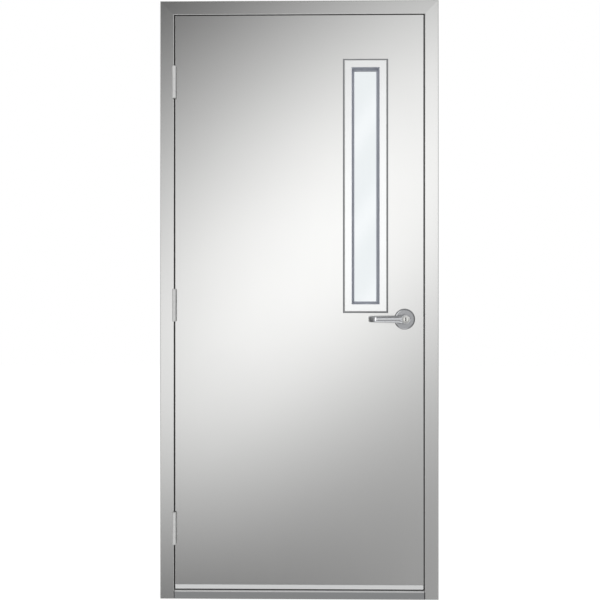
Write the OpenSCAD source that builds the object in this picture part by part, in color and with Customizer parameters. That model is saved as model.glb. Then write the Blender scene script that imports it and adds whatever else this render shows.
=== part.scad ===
// Stainless hollow-metal door in its welded frame, without the wall.
// One outswing leaf with hinges on the left, a narrow vision lite and a key-in-lever lock on the right.
// Millimetres, +Z up. The foot of the frame is centred on the origin and the pull side faces -Y.

/* [Opening] */
// Width between the two rabbets
open_w = 914.4; // [760:0.1:1220]
// Height from the floor to the head rabbet
open_h = 2133.6; // [1980:0.1:2440]

/* [Frame] */
// Width of the frame's face
face_w = 50.8; // [38:0.1:80]
// Depth of the frame through the wall
jamb_d = 146.05; // [130:0.05:250]
// Depth of each rabbet
rabbet_d = 49.2; // [48:0.1:55]
// Height of the stop above the rabbet
stop_h = 15.9; // [12:0.1:25]
// Width of the folded return against the wall
return_w = 12.7; // [8:0.1:20]
// Sheet thickness of the frame
frame_t = 1.5; // [1.2:0.1:2]
// Mid-line radius of the frame's bends
frame_bend_r = 1.6; // [1.2:0.1:3]

/* [Wall and floor anchors] */
// Height of the lowest anchor bolt
anchor_rise = 152.4; // [110:0.1:200]
// Head rabbet to the highest anchor bolt
anchor_drop = 152.4; // [130:0.1:200]
// Anchors in each jamb
anchor_count = 4; // [3:1:5]
// Bolt hole in a jamb or foot
anchor_hole_d = 10.5; // [8:0.1:13]
// Rim diameter of the formed dimple around a bolt hole
dimple_rim_d = 22; // [18:0.1:28]
// Depth of the dimple
dimple_depth = 3.5; // [2:0.1:5]
// Outer diameter of the pipe sleeve behind a dimple
sleeve_d = 19; // [16:0.1:24]
// Bore of the pipe sleeve
sleeve_bore_d = 12; // [11:0.1:14]
// Height of the anchor strap
strap_h = 38; // [25:1:50]
// Thickness of the anchor strap
strap_t = 2; // [1.5:0.1:4]
// Width of the foot bracket
foot_w = 38; // [25:1:45]
// Thickness of the foot bracket
foot_t = 3; // [2:0.1:4]
// Height of the foot bracket's upright
foot_h = 50; // [35:1:80]
// Distance from the frame's outer edge to the floor bolt
foot_hole_in = 36; // [28:0.1:44]
// Room between the foot bracket and the frame's return
foot_end_in = 5; // [3:0.1:10]
// Room between a fold of the frame and what is welded beside it
fold_room = 1; // [0.5:0.1:2]

/* [Door leaf] */
// Thickness of the leaf
door_t = 44.45; // [42:0.05:46]
// Gap round the leaf
door_gap = 3.175; // [2:0.005:4]
// How far the leaf lies behind the frame's face
door_setback = 1.6; // [1.2:0.1:2.5]
// Sheet thickness of the skins
skin_t = 1.2; // [1:0.1:1.5]
// Mid-line radius of the skins' bends
skin_bend_r = 1.2; // [0.9:0.1:2]
// Sheet thickness of the end channels
channel_t = 1.5; // [1.2:0.1:2]
// Leg of the end channels
channel_leg = 25; // [15:1:40]
// Room left at the ends of the core and channels
core_room = 1; // [0.8:0.1:3]

/* [Hinges] */
// Height of a hinge
hinge_h = 114.3; // [100:0.1:127]
// Distance from the pin to a leaf's edge
hinge_leaf_w = 50.8; // [47:0.1:52]
// Thickness of a leaf
hinge_leaf_t = 3.4; // [2.8:0.1:4]
// Barrel diameter
barrel_d = 14.3; // [13:0.1:16]
// Pin diameter
pin_d = 7.9; // [7:0.1:8.5]
// How far the pin stands in front of the frame's face
pin_out = 10; // [9.5:0.1:11]
// Head rabbet to the middle of the top hinge
hinge_top_drop = 247; // [180:1:320]
// Floor to the middle of the bottom hinge
hinge_foot_rise = 259; // [200:1:330]
// Gap between knuckles
knuckle_gap = 0.4; // [0.3:0.05:0.6]
// Room between a leaf and the other leaf's knuckles
knuckle_room = 0.5; // [0.3:0.1:1]
// Running clearance of the pin in the door's knuckles
pin_clear = 0.05; // [0.02:0.01:0.1]
// Height of the round tip on each pin end
pin_tip_h = 1.8; // [1:0.1:3]
// Spacing of the outer two screws
hinge_screw_out = 84; // [76:0.1:86]
// Spacing of the inner two screws
hinge_screw_in = 34; // [30:0.1:40]
// Distance of the outer screws from the leaf's edge
hinge_screw_edge = 8.5; // [8:0.1:12]
// Distance from the outer to the inner screw line
hinge_screw_stagger = 14; // [8:0.1:16]
// Thickness of a hinge backing plate
backing_t = 4.8; // [3:0.1:6]
// Weld pad at each end of a backing plate
backing_pad = 24; // [15:1:40]
// Room round a let-in plate
mortise_room = 0.2; // [0.1:0.05:0.4]

/* [Screws] */
// Head diameter of the hinge screws
hinge_head_d = 11; // [10:0.1:12]
// Shank diameter of the hinge screws
hinge_shank_d = 5.4; // [4.8:0.1:6]
// Length of the hinge screws
hinge_screw_len = 12; // [10:0.5:14]
// Head diameter of the small screws
small_head_d = 8; // [7:0.1:9]
// Shank diameter of the small screws
small_shank_d = 4; // [3.5:0.1:4.5]
// Length of the small screws
small_screw_len = 10; // [8:0.5:14]
// Clearance round every screw
screw_clear = 0.02; // [0.01:0.01:0.1]

/* [Sill] */
// Height of the sill
sill_h = 31; // [24:0.5:40]
// Radius of the sill's front nose
sill_nose_r = 7; // [4:0.5:10]
// Wall of the sill extrusion
sill_wall = 2.5; // [2:0.1:3.5]
// Depth of the flat top, from the front
sill_flat_d = 64; // [58:1:80]
// Height of the sill's rear edge
sill_rear_h = 8; // [6:0.5:12]
// Gap between the sill and the jambs
sill_end_gap = 0.8; // [0.4:0.1:2]
// Distance from the front to the sill screws
sill_screw_y = 26; // [20:0.5:40]
// Distance from the sill's ends to the outer screws
sill_screw_in = 81.4; // [60:0.1:110]

/* [Door shoe] */
// Room between the sill and the shoe, filled by the seal
seal_drop = 6; // [4:0.5:10]
// Running clearance between the seal and the sill
seal_clear = 0.4; // [0.3:0.1:1]
// Width of the seal strip
seal_w = 34; // [26:0.5:38]
// Thickness of the seal strip
seal_t = 1.6; // [1.2:0.1:2.5]
// Thickness of a seal fin
fin_t = 2.2; // [1.5:0.1:3]
// Wall of the shoe
shoe_t = 1.6; // [1.2:0.1:1.8]
// Height of the shoe's legs
shoe_h = 15.4; // [12:0.1:30]
// Distance of the shoe's ends from the leaf's edges
shoe_end_in = 2; // [1:0.5:6]
// Distance from the shoe's ends to the outer screws
shoe_screw_in = 52; // [30:0.1:90]

/* [Vision lite] */
// Width of the clear opening
lite_w = 101.6; // [76:0.1:200]
// Height of the clear opening
lite_h = 863.6; // [400:0.1:900]
// Lock edge of the leaf to the clear opening
lite_from_edge = 161; // [150:0.5:220]
// Top of the leaf to the clear opening
lite_drop = 191; // [150:0.5:260]
// Clear opening to the cut-out in the leaf
lite_cut_in = 12.7; // [11:0.1:15]
// Clear opening to the outer edge of the trim
trim_w = 28.6; // [24:0.1:40]
// Height of the trim above the skin
trim_h = 6.5; // [4:0.1:9]
// Width of the trim's bevel
trim_bevel = 4.5; // [4:0.1:12]
// Sheet thickness of the trim
trim_t = 1.2; // [1:0.1:1.5]
// Slope of the reveal towards the glass
reveal_splay = 3; // [1:0.1:5]
// Thickness of the glass
glass_t = 6.35; // [5:0.05:10]
// How far the glass reaches past the clear opening
glass_bite = 6; // [4:0.1:7]
// Thickness of a glazing gasket under the flange
tape_t = 1.6; // [1:0.1:3]
// Thickness of the gasket's lip at the top of the reveal
lip_t = 0.8; // [0.5:0.1:1.5]
// Front of the trim to the top of the lip
lip_drop = 1.2; // [0.5:0.1:3]
// How much wider the gasket is at the glass than at its lip
bead_show = 3.5; // [0:0.1:5]
// Width of the trim's inner flange
trim_flange = 14; // [13:0.1:15]
// Distance of the trim screws from the clear opening
trim_screw_in = 9; // [8.5:0.1:9.5]
// Ends of the clear opening to the outer screws of the long sides
trim_screw_end = 161.8; // [80:0.1:170]

/* [Lock] */
// Lock edge to the centre of the lock
backset = 69.85; // [60:0.05:75]
// Floor to the centre of the lock
lock_rise = 1022; // [950:1:1070]
// Cross bore through the leaf
cross_bore_d = 54; // [53:0.1:55]
// Latch bore in the lock edge
latch_bore_d = 25.4; // [25.2:0.1:27]
// Diameter of the lock chassis
chassis_d = 50; // [46:0.5:52]
// Diameter of a lever's spindle sleeve
spindle_d = 26; // [24:0.5:28]
// Length of the spindle sleeve inside the chassis
spindle_in = 12; // [8:0.5:16]
// Running clearance of the spindle sleeve
spindle_clear = 0.05; // [0.02:0.01:0.1]
// Rose diameter
rose_d = 76; // [70:0.5:85]
// Rose height
rose_h = 10; // [8.5:0.5:14]
// Fillet at the rim of the rose
rose_r = 6; // [4:0.5:7]
// Gap between the rose and the lever's neck
neck_gap = 1; // [0.5:0.1:2]
// Neck diameter of the lever
neck_d = 30; // [29:0.5:34]
// Head diameter of the lever
hub_d = 34; // [32:0.5:38]
// Chamfer round the lever's head
hub_chamfer = 1.5; // [0.5:0.1:2]
// How far the lever's head stands in front of its bar
hub_step = 2.5; // [2:0.1:4]
// End gap of the turning lock pieces
turn_gap = 0.4; // [0.3:0.05:1]
// Skin of the leaf to the lever's front
lever_out = 62; // [56:0.5:72]
// Centre of the lock to the lever's tip
lever_reach = 131; // [110:0.5:150]
// Lever bar height at the hub
bar_h_hub = 27; // [22:0.5:30]
// Lever bar height at the tip
bar_h_tip = 20; // [16:0.5:24]
// Lever bar thickness at the hub
bar_t_hub = 14; // [12:0.5:18]
// Lever bar thickness at the tip
bar_t_tip = 9.5; // [8:0.5:14]
// Mid-line radius of the returned end
return_r = 22; // [10:0.5:26]
// Gap between the returned end and the skin
return_gap = 12; // [8:0.5:20]
// Key cylinder diameter
cylinder_d = 27; // [24:0.5:29]
// Key cylinder length
cylinder_len = 30; // [24:0.5:34]
// Floor behind the key plug
cylinder_floor = 2; // [1.5:0.1:4]
// Key plug diameter
plug_d = 16; // [13:0.5:18]
// Running clearance of the plug
plug_clear = 0.05; // [0.02:0.01:0.1]
// Depth of the dish round the plug
dish_depth = 1.6; // [1:0.1:2.5]
// Flat rim inside and outside the dish
dish_rim = 1; // [0.6:0.1:1.2]
// Keyway height
keyway_h = 12.5; // [9:0.1:14]
// Keyway width
keyway_w = 3; // [2:0.1:4]
// Keyway depth
keyway_depth = 14; // [8:0.5:20]

/* [Latch and strike] */
// Latch throw
latch_throw = 12.7; // [10:0.1:14]
// Latch bolt width across the leaf
bolt_w = 15; // [12:0.1:15.5]
// Latch bolt height
bolt_h = 16; // [12:0.1:16.5]
// Length of the bolt behind the lock edge
bolt_tail = 26; // [22:0.5:28]
// Length of the bolt's round guide
guide_len = 6; // [4:0.5:8]
// Flat at the tip of the bolt
bolt_land = 3; // [2:0.1:5]
// Latch tube diameter
tube_d = 25; // [24.5:0.1:25.2]
// Wall of the latch tube
tube_wall = 1; // [0.8:0.1:1.2]
// Room between the latch tube and the lock chassis
tube_room = 0.5; // [0.2:0.1:1]
// Running clearance of the bolt
bolt_clear = 0.05; // [0.02:0.01:0.1]
// Room round the bolt in the face plate
bolt_room = 0.4; // [0.3:0.1:1]
// Face plate width
plate_w = 28.6; // [27:0.1:30]
// Face plate height
plate_h = 57.15; // [55:0.05:60]
// Face plate thickness
plate_t = 2.4; // [2.2:0.1:3]
// Distance between the face plate's screws
plate_screw_pitch = 41.3; // [39:0.1:44]
// Sheet thickness of the lock reinforcement
lock_box_t = 2; // [1.5:0.1:3]
// Height of the lock reinforcement
lock_box_h = 100; // [80:1:140]
// Lock edge to the end of the lock reinforcement
lock_box_d = 112; // [105:1:140]
// Strike plate width
strike_w = 32; // [28:0.1:34]
// Strike plate height
strike_h = 124; // [110:0.1:130]
// Strike plate thickness
strike_t = 2.4; // [2.2:0.1:3]
// Distance between the strike's screws
strike_screw_pitch = 104.8; // [90:0.1:108]
// Latch hole width in the strike
strike_hole_w = 19; // [18:0.1:22]
// Latch hole height in the strike
strike_hole_h = 28; // [22:0.1:34]
// How far the strike's ramp reaches past the latch hole
ramp_past = 6; // [3:0.1:8]
// Wall of the dust box
dust_wall = 1.2; // [1:0.1:2]
// Depth of the dust box
dust_depth = 20; // [16:0.5:26]
// Fastening flange round the dust box
dust_room = 2; // [1.5:0.1:3]

/* [Silencers] */
// Head diameter
silencer_d = 10; // [10:0.1:14]
// Stem diameter
silencer_stem_d = 8; // [6:0.1:9]
// Depth of the bulb behind the sheet
silencer_bulb_h = 6; // [4:0.1:8]
// How far the bulb stands out round the stem
silencer_bulb_out = 1; // [0.6:0.1:1.5]
// Gap between a silencer and the closed leaf
silencer_clear = 0.35; // [0.3:0.05:0.8]
// Floor or head to the nearest silencer
silencer_in = 330; // [250:1:450]

/* [Hidden] */
$fn = 48;
eps = 1;
// Frame
outer_w = open_w + 2 * face_w;
outer_h = open_h + face_w;
outer_x = outer_w / 2;
rabbet_x = open_w / 2;
stop_x = rabbet_x - stop_h;
anchor_pitch = (open_h - anchor_rise - anchor_drop) / (anchor_count - 1);
anchor_zs = [for (i = [0 : anchor_count - 1]) anchor_rise + i * anchor_pitch];
foot_hole_x = outer_x - foot_hole_in;
sill_end_x = rabbet_x - sill_end_gap;
sill_screw_xs = [for (i = [-1 : 2 / 3 : 1.01]) i * (sill_end_x - sill_screw_in)];
// Leaf
door_x = rabbet_x - door_gap;
door_y0 = door_setback;
door_y1 = door_y0 + door_t;
door_ym = (door_y0 + door_y1) / 2;
shoe_z = sill_h + seal_drop;
door_z0 = shoe_z + shoe_t;
door_z1 = open_h - door_gap;
in_y0 = door_y0 + skin_t;
in_y1 = door_y1 - skin_t;
fill_x = door_x - skin_t - core_room;
shoe_end_x = door_x - shoe_end_in;
shoe_screw_xs = [for (i = [-1 : 0.5 : 1]) i * (shoe_end_x - shoe_screw_in)];
// Hinges
pin_x = -(rabbet_x + door_x) / 2;
pin_y = -pin_out;
leaf_end_y = pin_y + hinge_leaf_w;
hinge_top_z = open_h - hinge_top_drop;
hinge_zs = [hinge_foot_rise, (hinge_foot_rise + hinge_top_z) / 2, hinge_top_z];
knuckle_h = hinge_h / 5;
backing_y0 = frame_t + frame_bend_r + fold_room;
backing_y1 = rabbet_d - frame_t;
mortise_h = hinge_h + 2 * mortise_room;
// Lite
lite_x = door_x - lite_from_edge - lite_w / 2;
lite_z = door_z1 - lite_drop - lite_h / 2;
cut_w = lite_w + 2 * lite_cut_in;
cut_h = lite_h + 2 * lite_cut_in;
trim_in = (door_t - glass_t) / 2 - tape_t;
// Lock
lock_x = door_x - backset;
lock_box_y0 = in_y0 + lock_box_t / 2;
lock_box_y1 = in_y1 - lock_box_t / 2;
lock_web_x = door_x - plate_t - lock_box_t / 2;
bar_z = lever_out - hub_step - bar_t_hub / 2;
tube_x0 = lock_x + chassis_d / 2 + tube_room;
dust_w = strike_hole_w + 2 * dust_room;
dust_h = strike_hole_h + 2 * dust_room;

function unit(v) = v / norm(v);
function mirror_list(list) = [for (i = [len(list) - 1 : -1 : 0]) list[i]];

// Moves the model so that the middle of the frame's foot is the origin
module place() {
    translate([0, -jamb_d / 2, 0])
        children();
}

// Flat shape drawn in X and Z, given thickness from y0 to y1
module slab_y(y0, y1) {
    translate([0, y1, 0])
        rotate([90, 0, 0])
            linear_extrude(y1 - y0)
                children();
}

// Flat shape drawn in Y and Z, given length from x0 to x1
module slab_x(x0, x1) {
    translate([x0, 0, 0])
        rotate([90, 0, 90])
            linear_extrude(x1 - x0)
                children();
}

// Box between two corners
module box(a, b) {
    translate(a)
        cube(b - a);
}

// Folded sheet: straight runs along a mid-line with a round bend at each corner
module bent_sheet(path, t, r) {
    last = len(path) - 1;
    for (i = [0 : last - 1]) {
        d = unit(path[i + 1] - path[i]);
        a = path[i] + (i > 0 ? r : 0) * d;
        b = path[i + 1] - (i < last - 1 ? r : 0) * d;
        translate(a)
            rotate(atan2(d.y, d.x))
                translate([0, -t / 2])
                    square([norm(b - a), t]);
    }
    for (i = [1 : last - 1])
        bend(path[i], unit(path[i] - path[i - 1]), unit(path[i + 1] - path[i]), t, r);
}

// Quarter ring that joins two runs of a folded sheet
module bend(corner, d0, d1, t, r) {
    k = 2 * (r + t);
    translate(corner - r * d0 + r * d1)
        intersection() {
            difference() {
                circle(r + t / 2);
                circle(r - t / 2);
            }
            polygon([[0, 0], -k * d1, k * (d0 - d1), k * d0]);
        }
}

// Flat-head screw, head at z = 0, pointing to +Z
module screw(head_d, shank_d, len, grow = 0) {
    cone_h = (head_d - shank_d) / 2;
    rotate_extrude()
        polygon([[0, 0], [head_d / 2 + grow, 0], [shank_d / 2 + grow, cone_h],
            [shank_d / 2 + grow, len + grow], [0, len + grow]]);
}

module hinge_screw(grow = 0) {
    screw(hinge_head_d, hinge_shank_d, hinge_screw_len, grow);
}

module small_screw(grow = 0) {
    screw(small_head_d, small_shank_d, small_screw_len, grow);
}

// Frame section: u runs from the outer edge to the opening, v from the front to the back
module frame_section() {
    h = frame_t / 2;
    u_rabbet = face_w - h;
    u_stop = face_w + stop_h - h;
    v_stop = rabbet_d + h;
    path = [[h, return_w], [h, h], [u_rabbet, h], [u_rabbet, v_stop], [u_stop, v_stop],
        [u_stop, jamb_d - v_stop], [u_rabbet, jamb_d - v_stop], [u_rabbet, jamb_d - h],
        [h, jamb_d - h], [h, jamb_d - return_w]];
    bent_sheet(path, frame_t, frame_bend_r);
}

// Sheet formed inwards round an anchor hole, rim at z = 0
module dimple() {
    rotate_extrude()
        polygon([[dimple_rim_d / 2, 0], [anchor_hole_d / 2, dimple_depth],
            [anchor_hole_d / 2, dimple_depth + frame_t], [dimple_rim_d / 2, frame_t]]);
}

// At each anchor of the left jamb, with +Z pointing into the hollow
module at_anchors(x) {
    for (z = anchor_zs)
        translate([x, jamb_d / 2, z])
            rotate([0, -90, 0])
                children();
}

// Left upright with its mitre and anchor dimples
module jamb_blank() {
    k = face_w + stop_h + eps;
    difference() {
        translate([-outer_x, 0, 0])
            linear_extrude(outer_h)
                frame_section();
        slab_y(-eps, jamb_d + eps)
            translate([-outer_x, outer_h])
                polygon([[-eps, eps], [k, -k], [k, 2 * eps], [-eps, 2 * eps]]);
        at_anchors(-stop_x + eps)
            cylinder(d = dimple_rim_d, h = frame_t + 2 * eps);
    }
    at_anchors(-stop_x)
        dimple();
}

module hinge_jamb() {
    color("silver")
        difference() {
            jamb_blank();
            for (z = hinge_zs)
                box([-rabbet_x - hinge_leaf_t, -eps, z - mortise_h / 2],
                    [-rabbet_x + eps, leaf_end_y + mortise_room, z + mortise_h / 2]);
        }
}

module strike_jamb() {
    color("silver")
        difference() {
            mirror([1, 0, 0])
                jamb_blank();
            box([rabbet_x - eps, door_ym - strike_w / 2 - mortise_room,
                    lock_rise - strike_h / 2 - mortise_room],
                [rabbet_x + frame_t + eps, door_ym + strike_w / 2 + mortise_room,
                    lock_rise + strike_h / 2 + mortise_room]);
            at_silencers()
                translate([0, 0, -eps])
                    cylinder(d = silencer_stem_d, h = frame_t + 2 * eps);
        }
}

module head() {
    k = face_w + stop_h + eps;
    color("silver")
        intersection() {
            slab_x(-outer_x, outer_x)
                translate([0, outer_h])
                    rotate(-90)
                        frame_section();
            slab_y(-eps, jamb_d + eps)
                translate([0, outer_h])
                    polygon([[-outer_x - eps, eps], [outer_x + eps, eps], [outer_x - k, -k],
                        [-outer_x + k, -k]]);
        }
}

// Plate behind a let-in fitting: its face lies at the given depth and its end pads reach the sheet
module backing(half_h, depth, sheet, y0, y1) {
    far = half_h + backing_pad;
    slab_y(y0, y1)
        polygon([[depth, -half_h], [sheet, -half_h], [sheet, -far], [depth + backing_t, -far],
            [depth + backing_t, far], [sheet, far], [sheet, half_h], [depth, half_h]]);
}

// Screw places on the left-hand leaf of each hinge, seen along -X
module at_hinge_screws(x) {
    for (z = hinge_zs)
        for (s = [-1, 1])
            translate([x, leaf_end_y - hinge_screw_edge, z]) {
                translate([0, 0, s * hinge_screw_out / 2])
                    rotate([0, -90, 0])
                        children();
                translate([0, -hinge_screw_stagger, s * hinge_screw_in / 2])
                    rotate([0, -90, 0])
                        children();
            }
}

// Mirrors what is drawn on the frame's side of the pin to the leaf's side
module to_leaf_side() {
    translate([2 * pin_x, 0, 0])
        mirror([1, 0, 0])
            children();
}

module hinge_backings(sheet, y0, y1) {
    difference() {
        for (z = hinge_zs)
            translate([-rabbet_x, 0, z])
                mirror([1, 0, 0])
                    backing(mortise_h / 2, hinge_leaf_t, sheet, y0, y1);
        at_hinge_screws(-rabbet_x)
            hinge_screw(screw_clear);
    }
}

module frame_hinge_plates() {
    color("darkgray")
        hinge_backings(frame_t, backing_y0, backing_y1);
}

module door_hinge_plates() {
    color("darkgray")
        to_leaf_side()
            hinge_backings(skin_t, in_y0 + skin_bend_r, in_y1 - skin_bend_r);
}

// Knuckle numbers 0, 2 and 4 belong to the frame's leaf, 1 and 3 to the door's leaf
module knuckles(which, d, gap) {
    for (i = which)
        translate([pin_x, pin_y, -hinge_h / 2 + i * knuckle_h + gap / 2])
            cylinder(d = d, h = knuckle_h - gap);
}

module hinge_leaf(own, other, bore_d) {
    difference() {
        union() {
            difference() {
                box([-rabbet_x - hinge_leaf_t, pin_y, -hinge_h / 2], [-rabbet_x, leaf_end_y, hinge_h / 2]);
                knuckles(other, barrel_d + 2 * knuckle_room, -knuckle_gap);
            }
            knuckles(own, barrel_d, knuckle_gap);
        }
        translate([pin_x, pin_y, -hinge_h / 2 - eps])
            cylinder(d = bore_d, h = hinge_h + 2 * eps);
    }
}

module hinge_frame_leaves() {
    color("lightgray")
        difference() {
            for (z = hinge_zs)
                translate([0, 0, z])
                    hinge_leaf([0, 2, 4], [1, 3], pin_d);
            at_hinge_screws(-rabbet_x)
                hinge_screw(screw_clear);
        }
}

module hinge_door_leaves() {
    color("gainsboro")
        to_leaf_side()
            difference() {
                for (z = hinge_zs)
                    translate([0, 0, z])
                        hinge_leaf([1, 3], [0, 2, 4], pin_d + 2 * pin_clear);
                at_hinge_screws(-rabbet_x)
                    hinge_screw(screw_clear);
            }
}

// Pin with a rounded tip that closes the barrel at each end
module hinge_pins() {
    color("gray")
        for (z = hinge_zs)
            translate([pin_x, pin_y, z]) {
                translate([0, 0, -hinge_h / 2])
                    cylinder(d = pin_d, h = hinge_h);
                for (s = [0, 1])
                    mirror([0, 0, s])
                        translate([0, 0, hinge_h / 2]) {
                            cylinder(d = barrel_d, h = pin_tip_h / 2);
                            translate([0, 0, pin_tip_h / 2])
                                cylinder(d1 = barrel_d, d2 = barrel_d - pin_tip_h, h = pin_tip_h / 2);
                        }
            }
}

module frame_hinge_screws() {
    color("dimgray")
        at_hinge_screws(-rabbet_x)
            hinge_screw();
}

module door_hinge_screws() {
    color("dimgray")
        to_leaf_side()
            at_hinge_screws(-rabbet_x)
                hinge_screw();
}

// Places on the strike, with +Z pointing into the jamb
module at_strike_screws() {
    for (s = [-1, 1])
        translate([rabbet_x, door_ym, lock_rise + s * strike_screw_pitch / 2])
            rotate([0, 90, 0])
                children();
}

module strike_backing() {
    color("darkgray")
        difference() {
            translate([rabbet_x, 0, lock_rise])
                backing(strike_h / 2 + mortise_room, strike_t, frame_t, backing_y0, backing_y1);
            box([rabbet_x, door_ym - dust_w / 2, lock_rise - dust_h / 2],
                [rabbet_x + strike_t + backing_t + eps, door_ym + dust_w / 2, lock_rise + dust_h / 2]);
            at_strike_screws()
                small_screw(screw_clear);
        }
}

module strike_plate() {
    lip = strike_hole_h / 2 + ramp_past;
    y0 = door_ym - strike_w / 2;
    y1 = door_ym + strike_w / 2;
    color("gainsboro")
        difference() {
            box([rabbet_x, y0, lock_rise - strike_h / 2],
                [rabbet_x + strike_t, y1, lock_rise + strike_h / 2]);
            box([rabbet_x - eps, door_ym - strike_hole_w / 2, lock_rise - strike_hole_h / 2],
                [rabbet_x + strike_t + eps, door_ym + strike_hole_w / 2, lock_rise + strike_hole_h / 2]);
            // ramp that leads the bolt in
            translate([0, 0, lock_rise - lip])
                linear_extrude(2 * lip)
                    polygon([[rabbet_x - eps, y0 - eps], [rabbet_x + strike_t / 2, y0 - eps],
                        [rabbet_x + strike_t / 2, y0], [rabbet_x, y0 + strike_t],
                        [rabbet_x - eps, y0 + strike_t]]);
            at_strike_screws()
                small_screw(screw_clear);
        }
}

module strike_screws() {
    color("dimgray")
        at_strike_screws()
            small_screw();
}

module dust_box() {
    x0 = rabbet_x + strike_t;
    color("black")
        difference() {
            box([x0, door_ym - dust_w / 2, lock_rise - dust_h / 2],
                [x0 + dust_depth, door_ym + dust_w / 2, lock_rise + dust_h / 2]);
            box([x0 - eps, door_ym - dust_w / 2 + dust_wall, lock_rise - dust_h / 2 + dust_wall],
                [x0 + dust_depth - dust_wall, door_ym + dust_w / 2 - dust_wall,
                    lock_rise + dust_h / 2 - dust_wall]);
        }
}

// Strap across the returns with a pipe sleeve for the wall bolt
module jamb_anchors() {
    x0 = -outer_x + frame_t;
    sleeve_len = outer_x - stop_x - frame_t - strap_t - dimple_depth - frame_t;
    difference() {
        union() {
            for (z = anchor_zs)
                box([x0, backing_y0, z - strap_h / 2], [x0 + strap_t, jamb_d - backing_y0, z + strap_h / 2]);
            at_anchors(-stop_x - dimple_depth - frame_t)
                cylinder(d = sleeve_d, h = sleeve_len);
        }
        at_anchors(-stop_x)
            cylinder(d = sleeve_bore_d, h = outer_x);
        // seat for the dimple's cone
        at_anchors(-stop_x)
            cylinder(d = dimple_rim_d, h = dimple_depth + frame_t);
    }
}

module hinge_side_anchors() {
    color("darkgray")
        jamb_anchors();
}

module strike_side_anchors() {
    color("darkgray")
        mirror([1, 0, 0])
            jamb_anchors();
}

// Angle welded behind each stop, with the floor bolt's hole
module floor_anchors() {
    x_up = -stop_x - frame_t - foot_t / 2;
    x_end = -outer_x + frame_t + foot_end_in;
    color("darkgray")
        for (s = [0, 1])
            mirror([s, 0, 0])
                difference() {
                    slab_y(jamb_d / 2 - foot_w / 2, jamb_d / 2 + foot_w / 2)
                        bent_sheet([[x_up, foot_h], [x_up, foot_t / 2], [x_end, foot_t / 2]],
                            foot_t, foot_t);
                    translate([-foot_hole_x, jamb_d / 2, -eps])
                        cylinder(d = anchor_hole_d, h = foot_t + 2 * eps);
                }
}

// Silencer places on the strike stop, with +Z pointing into the stop
module at_silencers() {
    for (z = [silencer_in, open_h / 2, open_h - silencer_in])
        translate([rabbet_x - stop_h / 2, rabbet_d, z])
            rotate([-90, 0, 0])
                children();
}

// Rubber bumper: low dome outside, stem through the sheet, bulb behind it
module silencers() {
    dome = rabbet_d - door_y1 - silencer_clear;
    color("gray")
        at_silencers()
            rotate_extrude()
                polygon([[0, -dome], [silencer_d / 2 - dome / 2, -dome], [silencer_d / 2, -dome / 2],
                    [silencer_d / 2, 0], [silencer_stem_d / 2, 0], [silencer_stem_d / 2, frame_t],
                    [silencer_stem_d / 2 + silencer_bulb_out, frame_t],
                    [silencer_stem_d / 2 - silencer_bulb_out, frame_t + silencer_bulb_h],
                    [0, frame_t + silencer_bulb_h]]);
}

// Sill section: round nose, flat top under the leaf, rib, slope to the back, open underneath
module sill_section() {
    w = sill_wall;
    h = w / 2;
    slope_y = jamb_d - sill_rear_h;
    slope_z = 1.5 * sill_rear_h;
    bent_sheet([[h, 0], [h, sill_h - h], [sill_flat_d - h, sill_h - h]], w, sill_nose_r - h);
    translate([sill_flat_d - 2 * w, 0])
        square([w, sill_h - h]);
    polygon([[sill_flat_d - w, sill_h - w], [sill_flat_d - h / 2, sill_h - w], [slope_y - h, slope_z - w],
        [jamb_d - w, sill_rear_h - h], [jamb_d - w, 0], [jamb_d, 0], [jamb_d, sill_rear_h],
        [slope_y, slope_z], [sill_flat_d, sill_h], [sill_flat_d - w, sill_h]]);
}

module at_sill_screws() {
    for (x = sill_screw_xs)
        translate([x, sill_screw_y, sill_h])
            mirror([0, 0, 1])
                children();
}

module sill_screw(grow = 0) {
    screw(small_head_d, small_shank_d, sill_h - grow, grow);
}

module sill() {
    notch_x = stop_x - sill_end_gap;
    color("lightsteelblue")
        difference() {
            slab_x(-sill_end_x, sill_end_x)
                sill_section();
            for (s = [0, 1])
                mirror([s, 0, 0])
                    box([notch_x, rabbet_d - sill_end_gap, -eps],
                        [sill_end_x + eps, jamb_d - rabbet_d + sill_end_gap, sill_h + eps]);
            at_sill_screws()
                sill_screw(screw_clear);
        }
}

module sill_screws() {
    color("dimgray")
        at_sill_screws()
            sill_screw();
}

// Folded skin: one face and two edges that meet the other skin half way through the leaf
module skin_blank() {
    x = door_x - skin_t / 2;
    y = door_y0 + skin_t / 2;
    translate([0, 0, door_z0])
        linear_extrude(door_z1 - door_z0)
            bent_sheet([[-x, door_ym], [-x, y], [x, y], [x, door_ym]], skin_t, skin_bend_r);
}

// What is cut out of both skins: lite, cross bore, latch face plate and hinge leaves
module skin_cuts() {
    slab_y(door_y0 - eps, door_y1 + eps)
        translate([lite_x, lite_z])
            square([cut_w, cut_h], center = true);
    translate([lock_x, door_y0 - eps, lock_rise])
        rotate([-90, 0, 0])
            cylinder(d = cross_bore_d, h = door_t + 2 * eps);
    box([door_x - plate_t, door_ym - plate_w / 2 - mortise_room, lock_rise - plate_h / 2 - mortise_room],
        [door_x + eps, door_ym + plate_w / 2 + mortise_room, lock_rise + plate_h / 2 + mortise_room]);
    for (z = hinge_zs)
        box([-door_x - eps, door_y0 - eps, z - mortise_h / 2],
            [-door_x + hinge_leaf_t, leaf_end_y + mortise_room, z + mortise_h / 2]);
}

// Mirrors what is drawn for the front of the leaf to its back
module to_back() {
    translate([0, 2 * door_ym, 0])
        mirror([0, 1, 0])
            children();
}

module front_skin() {
    color("silver")
        difference() {
            skin_blank();
            skin_cuts();
        }
}

module back_skin() {
    color("silver")
        difference() {
            to_back()
                skin_blank();
            skin_cuts();
        }
}

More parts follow.
